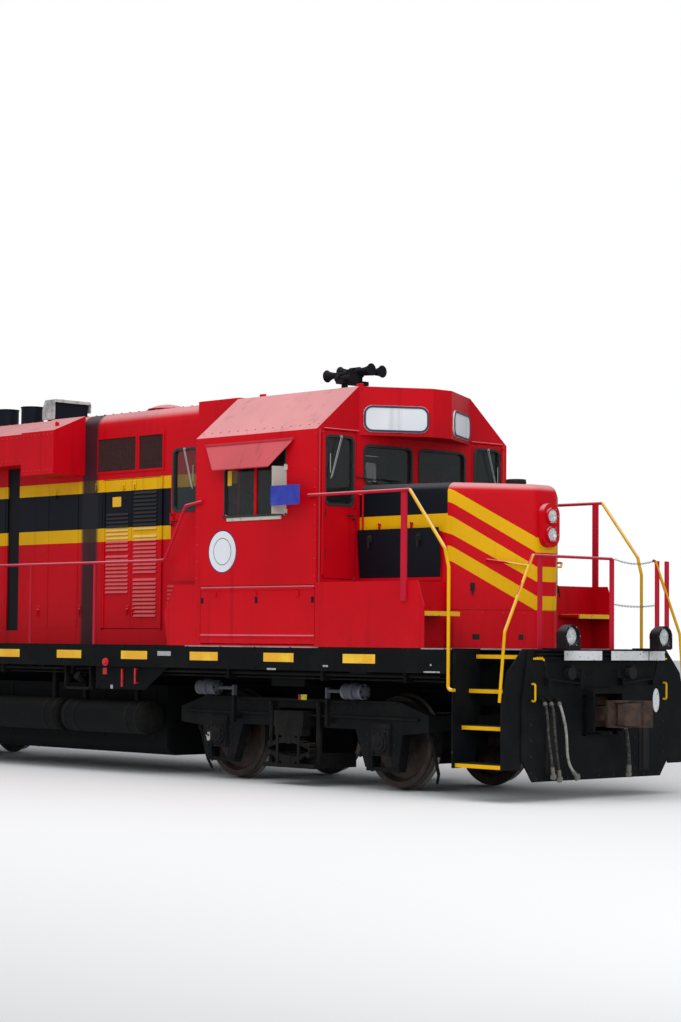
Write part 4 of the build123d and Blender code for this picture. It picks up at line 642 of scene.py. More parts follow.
# Truck fittings: bolts on lids, frames and tie bars, brake pipes, sanding pipes that end at the
# wheel treads, grease fittings, spring clips, and safety hangers under the spring packs.
def circle(radius, count):
    """Points round the origin as pairs."""
    return [(radius * cos(2 * pi * k / count), radius * sin(2 * pi * k / count)) for k in range(count)]


cylinder_grey = worn("brake_cylinder_grey", 9, 5, (0.35, 0.7), (0.13, 0.14, 0.165), (0.05, 0.052, 0.06),
                     0.42, 0.3, 0.3)
both = (-1, 1)
truck_x, half_wheelbase, axle_z = 4.724, 1.3715, 0.536
cylinder_y, cylinder_z = 1.19, 1.088
for end, body_end in ((1, "front"), (-1, "rear")):
    body = "truck_" + body_end
    centre = end * truck_x
    rows = []
    shape = Shape(sides)
    for x in about(centre, half_wheelbase):
        for across, up in circle(0.10, 8):
            rows += row(outward, (x + across, 1.139, axle_z + up))
        for foot in about(x, 0.21):
            rows += row(outward, (foot, 1.089, 0.30), (foot, 1.089, 0.62), 4)
            rows += row((0, 0, -1), (foot, 1.03, 0.219))
        shape.rod(x, (1.158, 1.168), axle_z, 0.05, 24, 0.044)
        shape.rod(about(x, 0.09), 1.112, 0.66, 0.014)
        for pin in about(x, 0.075):
            shape.rod(pin, (1.09, 1.128), 0.66, 0.022, 10)
        shape.bar(about(x, 0.13), (1.105, 1.118), (0.685, 0.735))
        for guide in about(x, 0.12):
            shape.bar(about(guide, 0.02), (1.108, 1.125), (0.39, 0.68))
    for reach in (0.6, 0.9):
        for x in about(centre, reach):
            rows += row(outward, (x, 1.089, 0.90))
    for x in about(centre, 0.4):
        for z in (0.30, 0.55, 0.86):
            rows += row(outward, (x, 1.149, z))
        shape.rod(x, (1.10, 1.165), 0.93, 0.026, 14)
    for x in about(centre, 0.18):
        shape.bar(about(x, 0.02), (1.12, 1.248), (0.245, 0.262))
        shape.bar(about(x, 0.02), (1.241, 1.25), (0.245, 0.575))
    shape.bar(about(centre, 0.41), (0.55, 1.13), (0.206, 0.365))
    shape.rod(about(centre, 1.95), 1.11, 0.80, 0.013, 8)
    shape.rod(about(centre, 1.0), 1.125, 0.965, 0.011, 8)
    for out in both:
        x = centre + out * 1.9
        bend, low_bend = x + out * 0.05, x + out * 0.045
        shape.rod((x, bend), (1.0, 0.90), (0.84, 0.60), 0.02, 10)
        shape.rod((bend, low_bend), (0.90, 0.78), (0.60, 0.20), 0.02, 10)
        shape.rod((low_bend, x), (0.78, 0.757), (0.20, 0.10), 0.017, 10)
        shape.rod(bend, (0.905, 0.895), (0.615, 0.575), 0.028, 10)
    for x in about(centre, 0.33):
        for z in (0.35, 0.47):
            shape.rod(x, (1.13, 1.24), z, 0.028, 16)
    shape.flips = alone
    sleeves = Shape()
    for side in both:
        y = side * cylinder_y
        for low, high in ((-1.618, -1.305), (0.891, 1.197)):
            x0, x1 = sorted((centre - side * end * low, centre - side * end * high))
            for x, inward in ((x0, 1), (x1, -1)):
                sleeves.rod((x - inward * 0.003, x + inward * 0.03), y, cylinder_z, 0.0885, 28)
                for across, up in circle(0.07, 6):
                    head = (x - inward * 0.0027, y + across, cylinder_z + up)
                    rows += row((-inward, 0, 0), head, flips=alone)
            shape.rod(x0 + 0.1, y, (1.16, 1.20), 0.018, 10)
            shape.rod(x0 + 0.1, (y, side * 1.05), (1.195, 1.02), 0.010, 8)
    bolt_iron = dark_paint(f"truck_bolt_{body_end}", (0.014, 0.014, 0.015), 0.6)
    bolts(f"truck_bolts_{body_end}", rows, 0.015, 0.012, bolt_iron, "cast_steel", body)
    rigging = dark_paint(f"truck_rigging_{body_end}", (0.009, 0.009, 0.010), 0.6)
    shape.piece(f"truck_rigging_{body_end}", rigging, "cast_steel", body, 0.003)
    sleeves.piece(f"brake_cylinder_heads_{body_end}", cylinder_grey, "cast_steel", body)

# Wheelsets: rolled steel wheels pressed on their axle, with rusty discs and worn treads and rims
# that shine.
for k in range(1, 5):
    steel = Finish(f"wheelset_{k}_steel")
    cloud = steel.noise(5, 5)
    low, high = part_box(f"wheelset_{k}")
    hub = steel.distance(steel.x - (low.x + high.x) / 2, steel.z - axle_z)
    bright = abs(steel.y).inside(0.682, 0.79) * (hub > 0.502)
    tone = steel.blend(cloud.ramp(0.35, 0.7), (0.012, 0.009, 0.008), (0.055, 0.030, 0.020))
    tone = steel.blend(bright * 0.8, tone, (0.20, 0.17, 0.15))
    steel.surface(tone, 0.7 - bright * 0.35, cloud, bright * 0.8, step=0.003)
    cover(f"wheelset_{k}", steel)

# Battery boxes beside the cab and nose: red sheet steel with a bottom-hinged cover on each side. The
# body paint is gloss enamel with low road dust and dark rain streaks, and a pale pink sky reflection is
# painted on the faces that look up.
red = (0.55, 0.001, 0.008)
black = (0.005, 0.007, 0.012)
hands = ((-1, "right"), (1, "left"))


def paint_over(finish, colour, dust=0.05, gloss=0.40):
    """Weathers a painted colour, paints a pink sky reflection on the faces that look up, and closes the
    finish.
    """
    cloud = finish.noise(0.7, 3)
    streak = finish.noise(3.0, 5, (2.2, 2.2, 0.12))
    speck = finish.noise(26, 3)
    facing_sky = finish.up.ramp(0.25, 0.75)
    tone = finish.shade(cloud.ramp(0.35, 0.7) * 0.30, colour, (0.5, 0.5, 0.55))
    tone = finish.shade(streak.ramp(0.54, 0.78) * 0.45, tone, (0.35, 0.35, 0.38))
    low_dust = (1 - finish.z.ramp(1.3, 2.4)) * dust * speck.ramp(0.3, 0.7)
    tone = finish.blend(low_dust.either(speck.ramp(0.66, 0.78) * 0.05), tone, (0.22, 0.11, 0.09))
    # Painted reflection of the sky: faces that look up are made paler and pinker.
    sky_sheen = {"Saturation": 0.62, "Value": 1.15, "Fac": facing_sky, "Color": tone}
    tone = finish.node("ShaderNodeHueSaturation", {}, sky_sheen)
    tone = finish.blend(facing_sky * (0.05 + cloud * 0.10), tone, (0.55, 0.50, 0.50))
    rough = gloss + cloud * 0.12 + speck * 0.06 + facing_sky * 0.2
    height = finish.noise(1.7, 2) * 3 + finish.noise(140, 2) * 0.05
    finish.surface(tone, rough, height, step=0.004, coat=0.01, specular=0.09)
    return finish


cover("battery_boxes", paint_over(Finish("box_red"), red))
cover("batteries", dark_paint("battery_cases"))
for side, label in hands:
    finish = Finish(f"battery_cover_{label}_red")
    outside = abs(finish.y) > 1.55
    latch = finish.x.inside(3.534, 3.584).either(finish.x.inside(4.49, 4.54))
    latch = latch.either(finish.x.inside(5.434, 5.484))
    # Painted highlights: pale pink lines along the top and bottom edges of each cover.
    edges = (finish.z > 2.252).either(finish.z.inside(1.700, 1.714)) * finish.x.inside(3.52, 5.49)
    tone = finish.blend(edges * outside, red, (0.62, 0.16, 0.19))
    tone = finish.blend(latch * outside * finish.z.inside(2.07, 2.14), tone, black)
    cover(f"battery_cover_{label}", paint_over(finish, tone))

# Cab: red steel walls and roof, grey-green inside. A plain white disc with two blue rings is painted
# on each side wall, and the panes are dark glass.
cab_green = (0.12, 0.16, 0.13)
cover("cab_floor", dark_paint("cab_floor_grey", (0.03, 0.035, 0.03), 0.2))
for side, label in hands:
    finish = Finish(f"cab_side_{label}_red")
    from_disc = finish.distance(finish.x - 3.91, finish.z - 2.673)
    outside = abs(finish.y) > 1.5615
    rings = from_disc.inside(0.238, 0.250).either(from_disc.inside(0.150, 0.158))
    tone = finish.blend((from_disc < 0.250) * outside, red, (0.72, 0.74, 0.78))
    tone = finish.blend(rings * outside, tone, (0.02, 0.025, 0.09))
    cover(f"cab_side_{label}", paint_over(finish, finish.blend(abs(finish.y) < 1.52, tone, cab_green)))
    for wall in ("front", "rear"):
        name = f"cab_door_{wall}_{label}"
        cover(name, paint_over(Finish(name + "_red"), red))
for name in ("cab_front_wall", "cab_rear_wall"):
    finish = Finish(name + "_red")
    inner = finish.x.inside(3.475, 5.455) * (abs(finish.y) < 1.55)
    cover(name, paint_over(finish, finish.blend(inner, red, cab_green)))
cover("cab_roof", paint_over(Finish("cab_roof_red"), red))
glass = Finish("cab_window_glass")
haze = glass.noise(4, 4)
glass.close(glass.node("ShaderNodeBsdfPrincipled", {}, {
    "Base Color": (0.012, 0.020, 0.020), "Roughness": 0.04 + haze * 0.08, "Alpha": 0.42 + haze * 0.16,
    "Specular IOR Level": 0.5}))
cover("cab_glass", glass)


# Door windows: black rubber sections round each pane of toughened glass, a wiper, a lever latch and
# four hinge leaves. Each is added on the shut door; the right-hand rear door is turned as it stands.
def bridge(mesh, first, second):
    """Faces between two closed loops of as many vertices."""
    for k in range(len(first)):
        mesh.faces.new((first[k - 1], first[k], second[k], second[k - 1]))


def rounded(width, height, corner, steps=5):
    """Points round a rectangle with rounded corners, about its middle."""
    points = []
    for quarter, (x, y) in enumerate(((1, 1), (-1, 1), (-1, -1), (1, -1))):
        middle_x, middle_y = x * (width / 2 - corner), y * (height / 2 - corner)
        for k in range(steps + 1):
            turned = pi / 2 * (quarter + k / steps)
            points.append((middle_x + corner * cos(turned), middle_y + corner * sin(turned)))
    return points


def toward(place, way, up=(0, 0, 1)):
    """Frame at place whose Z axis is way and whose Y axis is up."""
    way, up = Vector(way).normalized(), Vector(up)
    right = up.cross(way).normalized()
    return Matrix.Translation(place) @ Matrix((right, way.cross(right), way)).transposed().to_4x4()


def loop(mesh, place, points, level):
    """Vertices at the points, at one level of the frame place."""
    return [mesh.verts.new(place @ Vector((x, y, level))) for x, y in points]


def add_ring(mesh, place, width, height, corner, border, low, high):
    """Rounded frame round an opening of width by height, from low to high along the frame's Z."""
    inner = rounded(width, height, corner)
    outer = rounded(width + 2 * border, height + 2 * border, corner + border)
    corners_across = ((inner, low), (outer, low), (outer, high), (inner, high))
    loops = [loop(mesh, place, points, level) for points, level in corners_across]
    for k in range(4):
        bridge(mesh, loops[k - 1], loops[k])


def add_panel(mesh, place, width, height, corner, low, high):
    """Rounded plate from low to high along the frame's Z."""
    foot, head = (loop(mesh, place, rounded(width, height, corner), level) for level in (low, high))
    mesh.faces.new(foot)
    mesh.faces.new(head)
    bridge(mesh, foot, head)


rubber = worn("window_seal", 45, 4, (0.5, 0.8), (0.010, 0.011, 0.012), (0.06, 0.058, 0.055),
              0.6, 0.2, step=0.0008)
wiper_steel = Finish("wiper_steel")
scratch = wiper_steel.noise(60, 4)
wiper_steel.surface((0.42, 0.43, 0.44), 0.4 + scratch * 0.2, scratch, metal=0.7)
latch_iron = dark_paint("latch_iron", (0.02, 0.018, 0.018), 0.5)
# Columns: wall, its X, way out, Y of the free edge of the opening, foot and head of the glass.
for wall, wall_x, out, near, foot, top in (("front", 5.51, 1, 1.010, 3.183, 3.933),
                                           ("rear", 3.42, -1, 0.980, 3.193, 3.908)):
    for side, label in hands:
        name = f"cab_door_{wall}_{label}"
        ajar = name == "cab_door_rear_right"
        far, pull = 1.420, side * (near - 0.007)
        hinge = Vector((wall_x + out * 0.014, side * 1.484, 0))
        swing = Matrix.Translation(hinge) @ Matrix.Rotation(ajar * pi / 2, 4, "Z")
        swing = swing @ Matrix.Translation(-hinge)
        seat = swing @ toward((wall_x + out * 0.002, side * (near + far) / 2, (foot + top) / 2), (out, 0, 0))
        shape = Shape()
        add_ring(shape.mesh, seat, far - near - 0.012, top - foot - 0.012, 0.049, 0.034, -0.052, 0.010)
        shape.piece(name + "_seal", rubber, "hose_rubber", name, 0.004)
        shape = Shape()
        add_panel(shape.mesh, seat, far - near - 0.008, top - foot - 0.008, 0.05, -0.026, -0.020)
        shape.piece(name + "_pane", glass, "window_glass", name)
        away = side * out
        head = (top - foot) / 2
        pivot_y = head + 0.012
        shape = Shape()
        for x, y, z, radius in (((0, 0), (pivot_y, pivot_y), (0.006, 0.034), 0.013),
                                ((0, 0.155), (pivot_y, head - 0.47), (0.026, 0.024), 0.0045),
                                ((-0.022, 0.133), (pivot_y, head - 0.45), (0.026, 0.024), 0.003),
                                ((0.163, 0.163), (head - 0.19, -0.03), (0.024, 0.024), 0.005)):
            start, end = (seat @ Vector((away * x[k], y[k], z[k])) for k in (0, 1))
            shape.link(start, end, radius, 8)
        shape.piece(name + "_wiper", wiper_steel, "dark_steel", name)
        shape = Shape()
        for x, y, z, radius, facets in (((0.02, 0.038), (pull, pull), 3.02, 0.016, 12),
                                        ((0.02, 0.038), (pull, pull), 3.14, 0.016, 12),
                                        ((0.034, 0.034), (pull, pull + side * 0.115), 3.06, 0.010, 10)):
            start, end = (swing @ Vector((wall_x + out * x[k], y[k], z)) for k in (0, 1))
            shape.link(start, end, radius, facets)
        leaf = ((wall_x + out * 0.001, wall_x + out * 0.012), (side * (far + 0.004), side * (far + 0.046)))
        if ajar:
            leaf = ((3.342, 3.404), (-1.4962, -1.4855))
        for z in (2.62, 3.08, 3.55, 3.86):
            shape.bar(*leaf, about(z, 0.05))
        shape.piece(name + "_latch", latch_iron, "dark_steel", name, 0.002)

# Fixed cab windows: rubber seals in the front wall, sliding frames and pale sill strips at the side
# windows, hinged brackets of the wind deflectors, and the wipers of the front windows.
shape = Shape(sides)
for side in both:
    pane = toward((5.51, side * 0.444, 3.655), (1, 0, 0))
    add_ring(shape.mesh, pane, 0.734, 0.404, 0.055, 0.032, -0.02, 0.010)
shape.bar((3.925, 5.03), (1.545, 1.585), (3.062, 3.083))
for x, z in (((3.93, 3.95), (3.083, 3.80)), ((4.984, 5.004), (3.083, 3.80)), ((3.93, 5.004), (3.795, 3.812))):
    shape.bar(x, (1.535, 1.568), z)
shape.piece("cab_window_seals", rubber, "hose_rubber", edge=0.004)
strip_grey = worn("sill_strip_grey", 20, 4, (0.5, 0.75), (0.50, 0.47, 0.40), (0.20, 0.16, 0.12), 0.55, 0.2)
shape = Shape(sides)
shape.bar((3.99, 4.93), (1.561, 1.574), (3.020, 3.060))
for z in (3.10, 3.60):
    shape.bar((4.985, 5.03), (1.561, 1.582), about(z, 0.03))
    shape.rod(5.0, 1.575, about(z, 0.04), 0.011, 10)
    shape.rod((4.985, 4.94), (1.59, 1.69), z, 0.007, 8)
shape.piece("window_sill_strips", strip_grey, "white_panel", edge=0.002)
shape = Shape()
for side in both:
    for pivot in (side * 0.20, side * 0.60):
        tip = pivot + side * 0.20
        shape.rod((5.50, 5.542), pivot, 3.43, 0.016, 12)
        shape.rod(5.53, (pivot, tip), (3.43, 3.485), 0.006, 8)
        shape.rod(5.53, (tip - 0.16, tip + 0.14), (3.50, 3.482), 0.007, 8)
shape.piece("front_wipers", latch_iron, "dark_steel")

# Blank blue sign on the right-hand wind deflector, and the yellow card inside each side window:
# printed sheet, screwed on and taped in.
sign_blue = worn("sign_blue", 5, 3, (0.35, 0.7), (0.006, 0.016, 0.30), (0.02, 0.045, 0.36), 0.35, 0.1)
shape = Shape()
add_panel(shape.mesh, toward((5.16, -1.716, 3.275), (0, -1, 0)), 0.48, 0.222, 0.012, 0, 0.004)
for x in (4.935, 5.0):
    shape.rod(x, (-1.70, -1.722), 3.215, 0.006, 8)
shape.piece("blank_sign", sign_blue, "white_panel")
card = Finish("window_card_yellow")
card.surface(yellow, 0.5 + card.noise(10, 3) * 0.1)
shape = Shape()
for side in both:
    add_panel(shape.mesh, toward((4.01, side * 1.545, 3.52), (0, side, 0)), 0.07, 0.17, 0.008, -0.002, 0.002)
shape.piece("window_cards", card, "white_panel")

# Cab roof and wall fastenings: bolts along the eaves and down the corner seams, lifting eyes, drip
# rails over the doors and grab irons beside them, all painted with the cab.
rows = []
for y in (0.35, 0.7):
    for z in (4.2, 4.45):
        rows += row((-1, 0, 0), (3.4205, y, z))
rows += row((0, 0.62, 0.78), (3.47, 1.49, 4.0735), (5.46, 1.49, 4.0735), 14)
rows += row(upward, (3.47, 0.88, 4.5375), (5.46, 0.88, 4.5375), 14)
for x in (3.45, 5.48):
    rows += row(outward, (x, 1.5615, 2.36), (x, 1.5615, 3.95), 9)
cab_trim = paint_over(Finish("cab_trim_red"), red)
bolts("cab_bolts", rows, 0.010, 0.006, cab_trim, "red_enamel")
shape = Shape(sides)
for x in (3.62, 5.30):
    shape.bar(about(x, 0.05), about(0.70, 0.012), (4.53, 4.60))
shape.rod(5.522, (0.93, 1.47), 4.02, 0.012, 8)
shape.rod(3.408, (0.90, 1.47), 4.03, 0.012, 8)
for x, way in ((5.51, 1), (3.42, -1)):
    for z in (2.75, 3.30):
        shape.rod((x, x + way * 0.07), 0.905, z, 0.010, 8)
    shape.rod(x + way * 0.065, 0.905, (2.72, 3.33), 0.012, 8)
shape.piece("cab_roof_eyes", cab_trim, "red_enamel", edge=0.003)

# Sunshades: folded sheet in faded red over the windows, with a bare grey-beige wind deflector ahead.
# Both are bolted to the cab's side.
finish = Finish("sunshade_paint")
plate = finish.x.inside(4.92, 5.02) * (finish.z < 3.62)
cover("sunshades", paint_over(finish, finish.blend(plate, (0.52, 0.03, 0.045), (0.42, 0.38, 0.35))))

# Nose: red steel shell. Black covers its sides and top up to the corner, above a yellow band, and
# three yellow chevrons cross the prow. They are given by their Z at the prow's outer and inner end.
finish = Finish("nose_livery")
away = abs(finish.y)
slope = finish.node("ShaderNodeClamp", {}, {0: (0.89 - away) / 0.728})
front = finish.x > 6.885
chevrons = []
for outer_top, inner_top, outer_low, inner_low in ((3.322, 2.792, 3.174, 2.628), (3.028, 2.476, 2.831, 2.312),
                                                   (2.701, 2.156, 2.538, 1.995)):
    top_line = outer_top + slope * (inner_top - outer_top)
    low_line = outer_low + slope * (inner_low - outer_low)
    chevrons.append((top_line > finish.z) * (low_line < finish.z))
ahead = finish.blend(chevrons[0].either(chevrons[1]).either(chevrons[2]), red, yellow)
band = (finish.z < 3.048) * (finish.z > 2.898 - finish.x.ramp(6.6, 6.92) * 0.067)
leaning = away.inside(0.905, 1.01) * finish.z.inside(2.29, 2.93) * (finish.x < 6.85)
tone = finish.blend((finish.z > 3.048).either(leaning), red, black)
tone = finish.blend(band * (1 - leaning), tone, yellow)
seam = finish.z.inside(1.996, 2.003)
tone = finish.blend(seam * 0.7, finish.blend(front, tone, ahead), (0.03, 0.002, 0.004))
cover("nose", paint_over(finish, tone))

# Nose fittings: latches on the leaning covers and above them, the black push-pole slots, hinges
# of the low door, and the cast cap of the filler on top.
prow = (6.92, 0.89, 1.80)
prow_way = (0.763, 0.646, 0)
shape = Shape(sides)
for x in (5.73, 6.50):
    shape.rod(x, (0.945, 0.975), 2.80, 0.020, 14)
    shape.bar(about(x, 0.012), (0.957, 0.975), (2.69, 2.80))
    shape.bar(about(x, 0.03), (0.943, 0.953), (2.76, 2.84))
for side in both:
    way = (prow_way[0], side * prow_way[1], 0)
    for x, y in ((7.109, 0.6665), (7.434, 0.2825)):
        add_panel(shape.mesh, toward((x, side * y, 1.708), way), 0.080, 0.060, 0.008, -0.01, 0.003)
    facet = toward((7.083, side * 0.6975, 2.25), way)
    add_panel(shape.mesh, facet, 0.05, 0.09, 0.012, -0.01, 0.012)
    shape.link(facet @ Vector((0, 0.02, 0.01)), facet @ Vector((0, -0.09, 0.03)), 0.009, 8)
shape.piece("nose_latches", latch_iron, "dark_steel", edge=0.002)
shape = Shape()
shape.rod(6.72, 0.40, (3.38, 3.452), 0.088, 28)
shape.rod(6.72, 0.40, (3.445, 3.492), 0.118, 32, 0.112)
shape.piece("nose_filler_cap", latch_iron, "dark_steel", edge=0.004)
shape = Shape(sides)
for x in (5.84, 6.345):
    shape.rod(x, (0.888, 0.915), 2.955, 0.018, 12)
    shape.bar(about(x, 0.009), (0.895, 0.912), (2.90, 2.955))
for k in range(4):
    place = Vector(prow).lerp(Vector((7.535, 0.162, 1.80)), 0.14 + 0.24 * k)
    for side in both:
        facet = toward((place.x, side * place.y, place.z), (prow_way[0], side * prow_way[1], 0))
        add_panel(shape.mesh, facet, 0.02, 0.34, 0.004, -0.006, 0.004)
shape.piece("nose_hinges", cab_trim, "red_enamel", edge=0.002)

# Treads at the ends of the battery boxes: steel plate with a toothed face and a turned-down edge,
# painted safety yellow and scuffed by boots.
safety_yellow = worn("safety_yellow", 18, 5, (0.56, 0.74), yellow, (0.10, 0.08, 0.05), 0.42, 0.3)
shape = Shape(sides)
rows = []
for low, high, edge in ((6.87, 7.16, 7.16), (2.955, 3.43, 2.955)):
    shape.bar(about(edge, 0.012), (0.985, 1.555), (1.925, 1.972))
    for x, y, z in line((low + 0.02, 0, 0), (high - 0.02, 0, 0), 8):
        rows += row(upward, (x, 1.0, 1.9675), (x, 1.54, 1.9675), 14)
shape.piece("box_tread_edges", safety_yellow, "white_panel", edge=0.002)
bolts("box_tread_teeth", rows, 0.009, 0.008, safety_yellow, "white_panel")


# Long hood: red sheet-steel casing with a black band between two yellow stripes along both sides
# and round the rear. A dark vertical band runs down the sides below the turbo cabinet's front end.
def hood_colours(finish):
    """Red with the two yellow stripes, the black band, painted shade in the recess and the intake, and a dark
    vertical band below the cabinet.
    """
    band_foot, band_top = 3.060, 3.525
    lines = finish.z.inside(band_top, 3.681).either(finish.z.inside(2.890, band_foot))
    tone = finish.blend(finish.z.inside(band_foot, band_top), red, black)
    tone = finish.blend(lines, tone, yellow)
    # Painted shade: near black inside the recess down each side and inside the intake behind the screens.
    recess_shade = finish.x.inside(-1.333, -1.063) * finish.z.inside(1.75, 4.06)
    intake_shade = finish.x.inside(0.64, 1.99) * finish.z.inside(3.77, 4.22) * (abs(finish.y) < 0.888)
    tone = finish.blend(recess_shade.either(intake_shade), tone, (0.006, 0.006, 0.008))
    # A dark vertical band with ragged edges down the sides under the cabinet's front end.
    ragged = finish.noise(5, 4, (1, 1, 0.2)) * 0.12
    dark_band = 1 - abs(finish.x - 0.487).ramp(0.12, 0.21)
    return finish.blend(dark_band * (0.88 + ragged), tone, (0.014, 0.014, 0.019))


for name in ("long_hood", "hood_door_right_aft", "hood_door_right_fore", "hood_door_left_aft",
             "hood_door_left_fore"):
    finish = Finish(name + "_livery")
    cover(name, paint_over(finish, hood_colours(finish)))
cover("hood_grilles", dark_paint("grille_steel", (0.045, 0.012, 0.015), 0.4))
cover("engine", dark_paint("engine_grey", (0.10, 0.10, 0.09), 0.3))

# Grille screens: fine woven wire laid cornerwise over the intake frames, rusty brown. Each wire is a
# line from one edge of the frame to another.
wires = Pattern("wires", {"Radius": 0.002, "Sides": 4})
along = wires.node("GeometryNodeMeshToCurve", {}, {0: wires.given("Geometry")})
section = {"Resolution": wires.given("Sides"), "Radius": wires.given("Radius")}
ring = wires.node("GeometryNodeCurvePrimitiveCircle", {}, section)
wires.end(wires.node("GeometryNodeCurveToMesh", {}, {0: along, 1: ring, "Fill Caps": True}))


def path_mesh(paths):
    """Mesh of edges along each list of points; a list that ends at its first point is closed."""
    places, edges = [], []
    for path in paths:
        closed = path[0] == path[-1]
        kept = path[:-1] if closed else path
        first = len(places)
        places += kept
        edges += [(first + k, first + k + 1) for k in range(len(kept) - 1)]
        if closed:
            edges.append((len(places) - 1, first))
    data = bpy.data.meshes.new("paths")
    data.from_pydata(places, edges, [])
    return data


def cornerwise(x, z, y, pitch):
    """Crossed diagonal lines over the pairs x and z at y."""
    paths = []
    wide, tall = x[1] - x[0], z[1] - z[0]
    for slant in both:
        for k in range(1, int((wide + tall) / pitch)):
            reach = k * pitch
            foot = (min(reach, wide), max(0, reach - wide))
            head = (max(0, reach - tall), min(reach, tall))
            if foot != head:
                paths.append([(x[0] + u if slant > 0 else x[1] - u, y, z[0] + v) for u, v in (foot, head)])
    return paths


screen_rust = worn("screen_rust", 30, 4, None, (0.05, 0.012, 0.014), (0.12, 0.05, 0.04), 0.75, 0, 0.2)
screen_wire = {"Radius": 0.0028, "Sides": 4}
for side, label in hands:
    paths = []
    for x in ((0.664, 1.428), (1.502, 1.964)):
        paths += cornerwise(x, (3.792, 4.204), side * 0.8895, 0.030)
    wires.make(f"grille_screen_{label}", path_mesh(paths), screen_wire, screen_rust, "soot_black")

# Hood door latches, hinges and small parts: cast hooks painted with the hood, and a blank yellow
# plate on the aft door. Rows of screws hold the roof panels.
hood_trim = Finish("hood_trim_paint")
paint_over(hood_trim, hood_colours(hood_trim))
shape = Shape(sides)
for x, z in ((0.631, 3.63), (-0.217, 3.56), (0.30, 2.02), (-0.60, 2.02), (-2.2, 3.56), (-3.1, 3.56)):
    shape.bar(about(x, 0.035), (0.889, 0.899), about(z, 0.055))
    shape.rod(x, (0.895, 0.918), z, 0.016, 12)
    shape.bar(about(x, 0.009), (0.905, 0.917), (z - 0.085, z))
for x, y, z in line((-7.2, 0.72, 4.52), (3.2, 0.72, 4.52), 60):
    shape.rod(x, y, (z, z + 0.033), 0.013, 8)
shape.piece("hood_latches", hood_trim, "red_enamel", edge=0.002)
for side, label in hands:
    flips = ((1, side),)
    for leaf, latches in (("aft", ((1.20, 3.60), (1.30, 2.02))), ("fore", ((1.42, 3.60), (1.42, 2.02)))):
        shape = Shape(flips)
        for x, z in latches:
            shape.bar(about(x, 0.03), (0.891, 0.901), about(z, 0.05))
            shape.rod(x, (0.897, 0.92), z, 0.015, 12)
            shape.bar(about(x, 0.008), (0.907, 0.918), (z - 0.08, z))
        door = f"hood_door_{label}_{leaf}"
        shape.piece(f"hood_door_latches_{label}_{leaf}", hood_trim, "red_enamel", door, 0.002)
    shape = Shape(flips)
    add_panel(shape.mesh, toward((1.055, side * 0.8925, 3.391), (0, side, 0)), 0.175, 0.125, 0.01, 0, 0.003)
    for x in (0.98, 1.13):
        for z in (3.342, 3.44):
            shape.rod(x, (0.893, 0.8985), z, 0.005, 8)
    shape.piece(f"blank_yellow_plate_{label}", card, "white_panel", f"hood_door_{label}_aft")

# On the hood: red filter cabinets at both sides, two black exhaust stacks, a dark cabinet on the
# roof, a red domed vent, and radiator fans in red cowls.
finish = Finish("hood_fittings_paint")
stacks = finish.x.inside(-2.83, -1.83) * (abs(finish.y) < 0.20)
cabinet = finish.x.inside(-1.34, -1.10) * (abs(finish.y) < 0.31)
dark = stacks.either(cabinet) * (finish.z > 4.54)
# A dark band is painted round the foot of the domed vent.
vent_foot_band = finish.x.inside(0.68, 1.26) * finish.z.inside(4.562, 4.634)
dark = dark.either(finish.x.inside(6.6, 6.8)).either(vent_foot_band)
cover("hood_fittings", paint_over(finish, finish.blend(dark, red, (0.007, 0.010, 0.016))))
cover("fan_cowls", paint_over(Finish("fan_cowl_red"), red))
for name in ("fan_rotor_a", "fan_rotor_b"):
    cover(name, dark_paint(name + "_steel", (0.03, 0.03, 0.03), 0.4))

# Fan guards: rings and bars of round wire over each radiator fan, the rolled rims of the stacks, and
# the bolts and lifting lugs of everything that stands on the roof.
paths = []
for x in (-4.7, -6.15):
    for radius in (0.12, 0.205, 0.29, 0.375, 0.46, 0.545, 0.628):
        ring = [(x + u, v, 4.744) for u, v in circle(radius, 48)]
        paths.append(ring + ring[:1])
    paths += [[(x + r * u, r * v, 4.737) for r in (0.11, 0.64)] for u, v in circle(1, 12)]
guard_steel = dark_paint("fan_guard_steel", (0.03, 0.012, 0.012), 0.4)
wires.make("fan_guards", path_mesh(paths), {"Radius": 0.0055, "Sides": 8}, guard_steel, "black_enamel")
shape = Shape()
rows = []
for x in (-2.632, -2.038):
    for low, high, border in ((4.862, 4.880, 0.014), (4.62, 4.632, 0.011)):
        add_ring(shape.mesh, toward((x, 0, 0), upward, outward), 0.30, 0.30, 0.149, border, low, high)
    rows += [((x + u, v, 4.608), upward) for u, v in circle(0.172, 8)]
shape.piece("stack_rims", dark_paint("stack_rim_soot", (0.006, 0.007, 0.010), 0.2), "soot_black", edge=0.003)
for low, high, y, foot, count in ((-0.33, 0.371, 1.4, 3.808, 8), (-2.6, -0.332, 1.3, 3.968, 22)):
    for z in (foot, 4.27):
        rows += row(outward, (low + 0.05, y, z), (high - 0.05, y, z), count)
rows += [((0.97 + u, v, 4.558), upward) for u, v in circle(0.262, 16)]
bolts("roof_bolts", rows, 0.010, 0.007, cab_trim, "red_enamel")
shape = Shape(sides)
for x, y in ((0.2, 1.22), (-1.4, 1.15), (-2.4, 1.15)):
    shape.bar(about(x, 0.035), about(y, 0.007), (4.33, 4.44))
    shape.rod(x, about(y, 0.012), 4.42, 0.032, 14)
shape.piece("lifting_lugs", cab_trim, "red_enamel", edge=0.003)

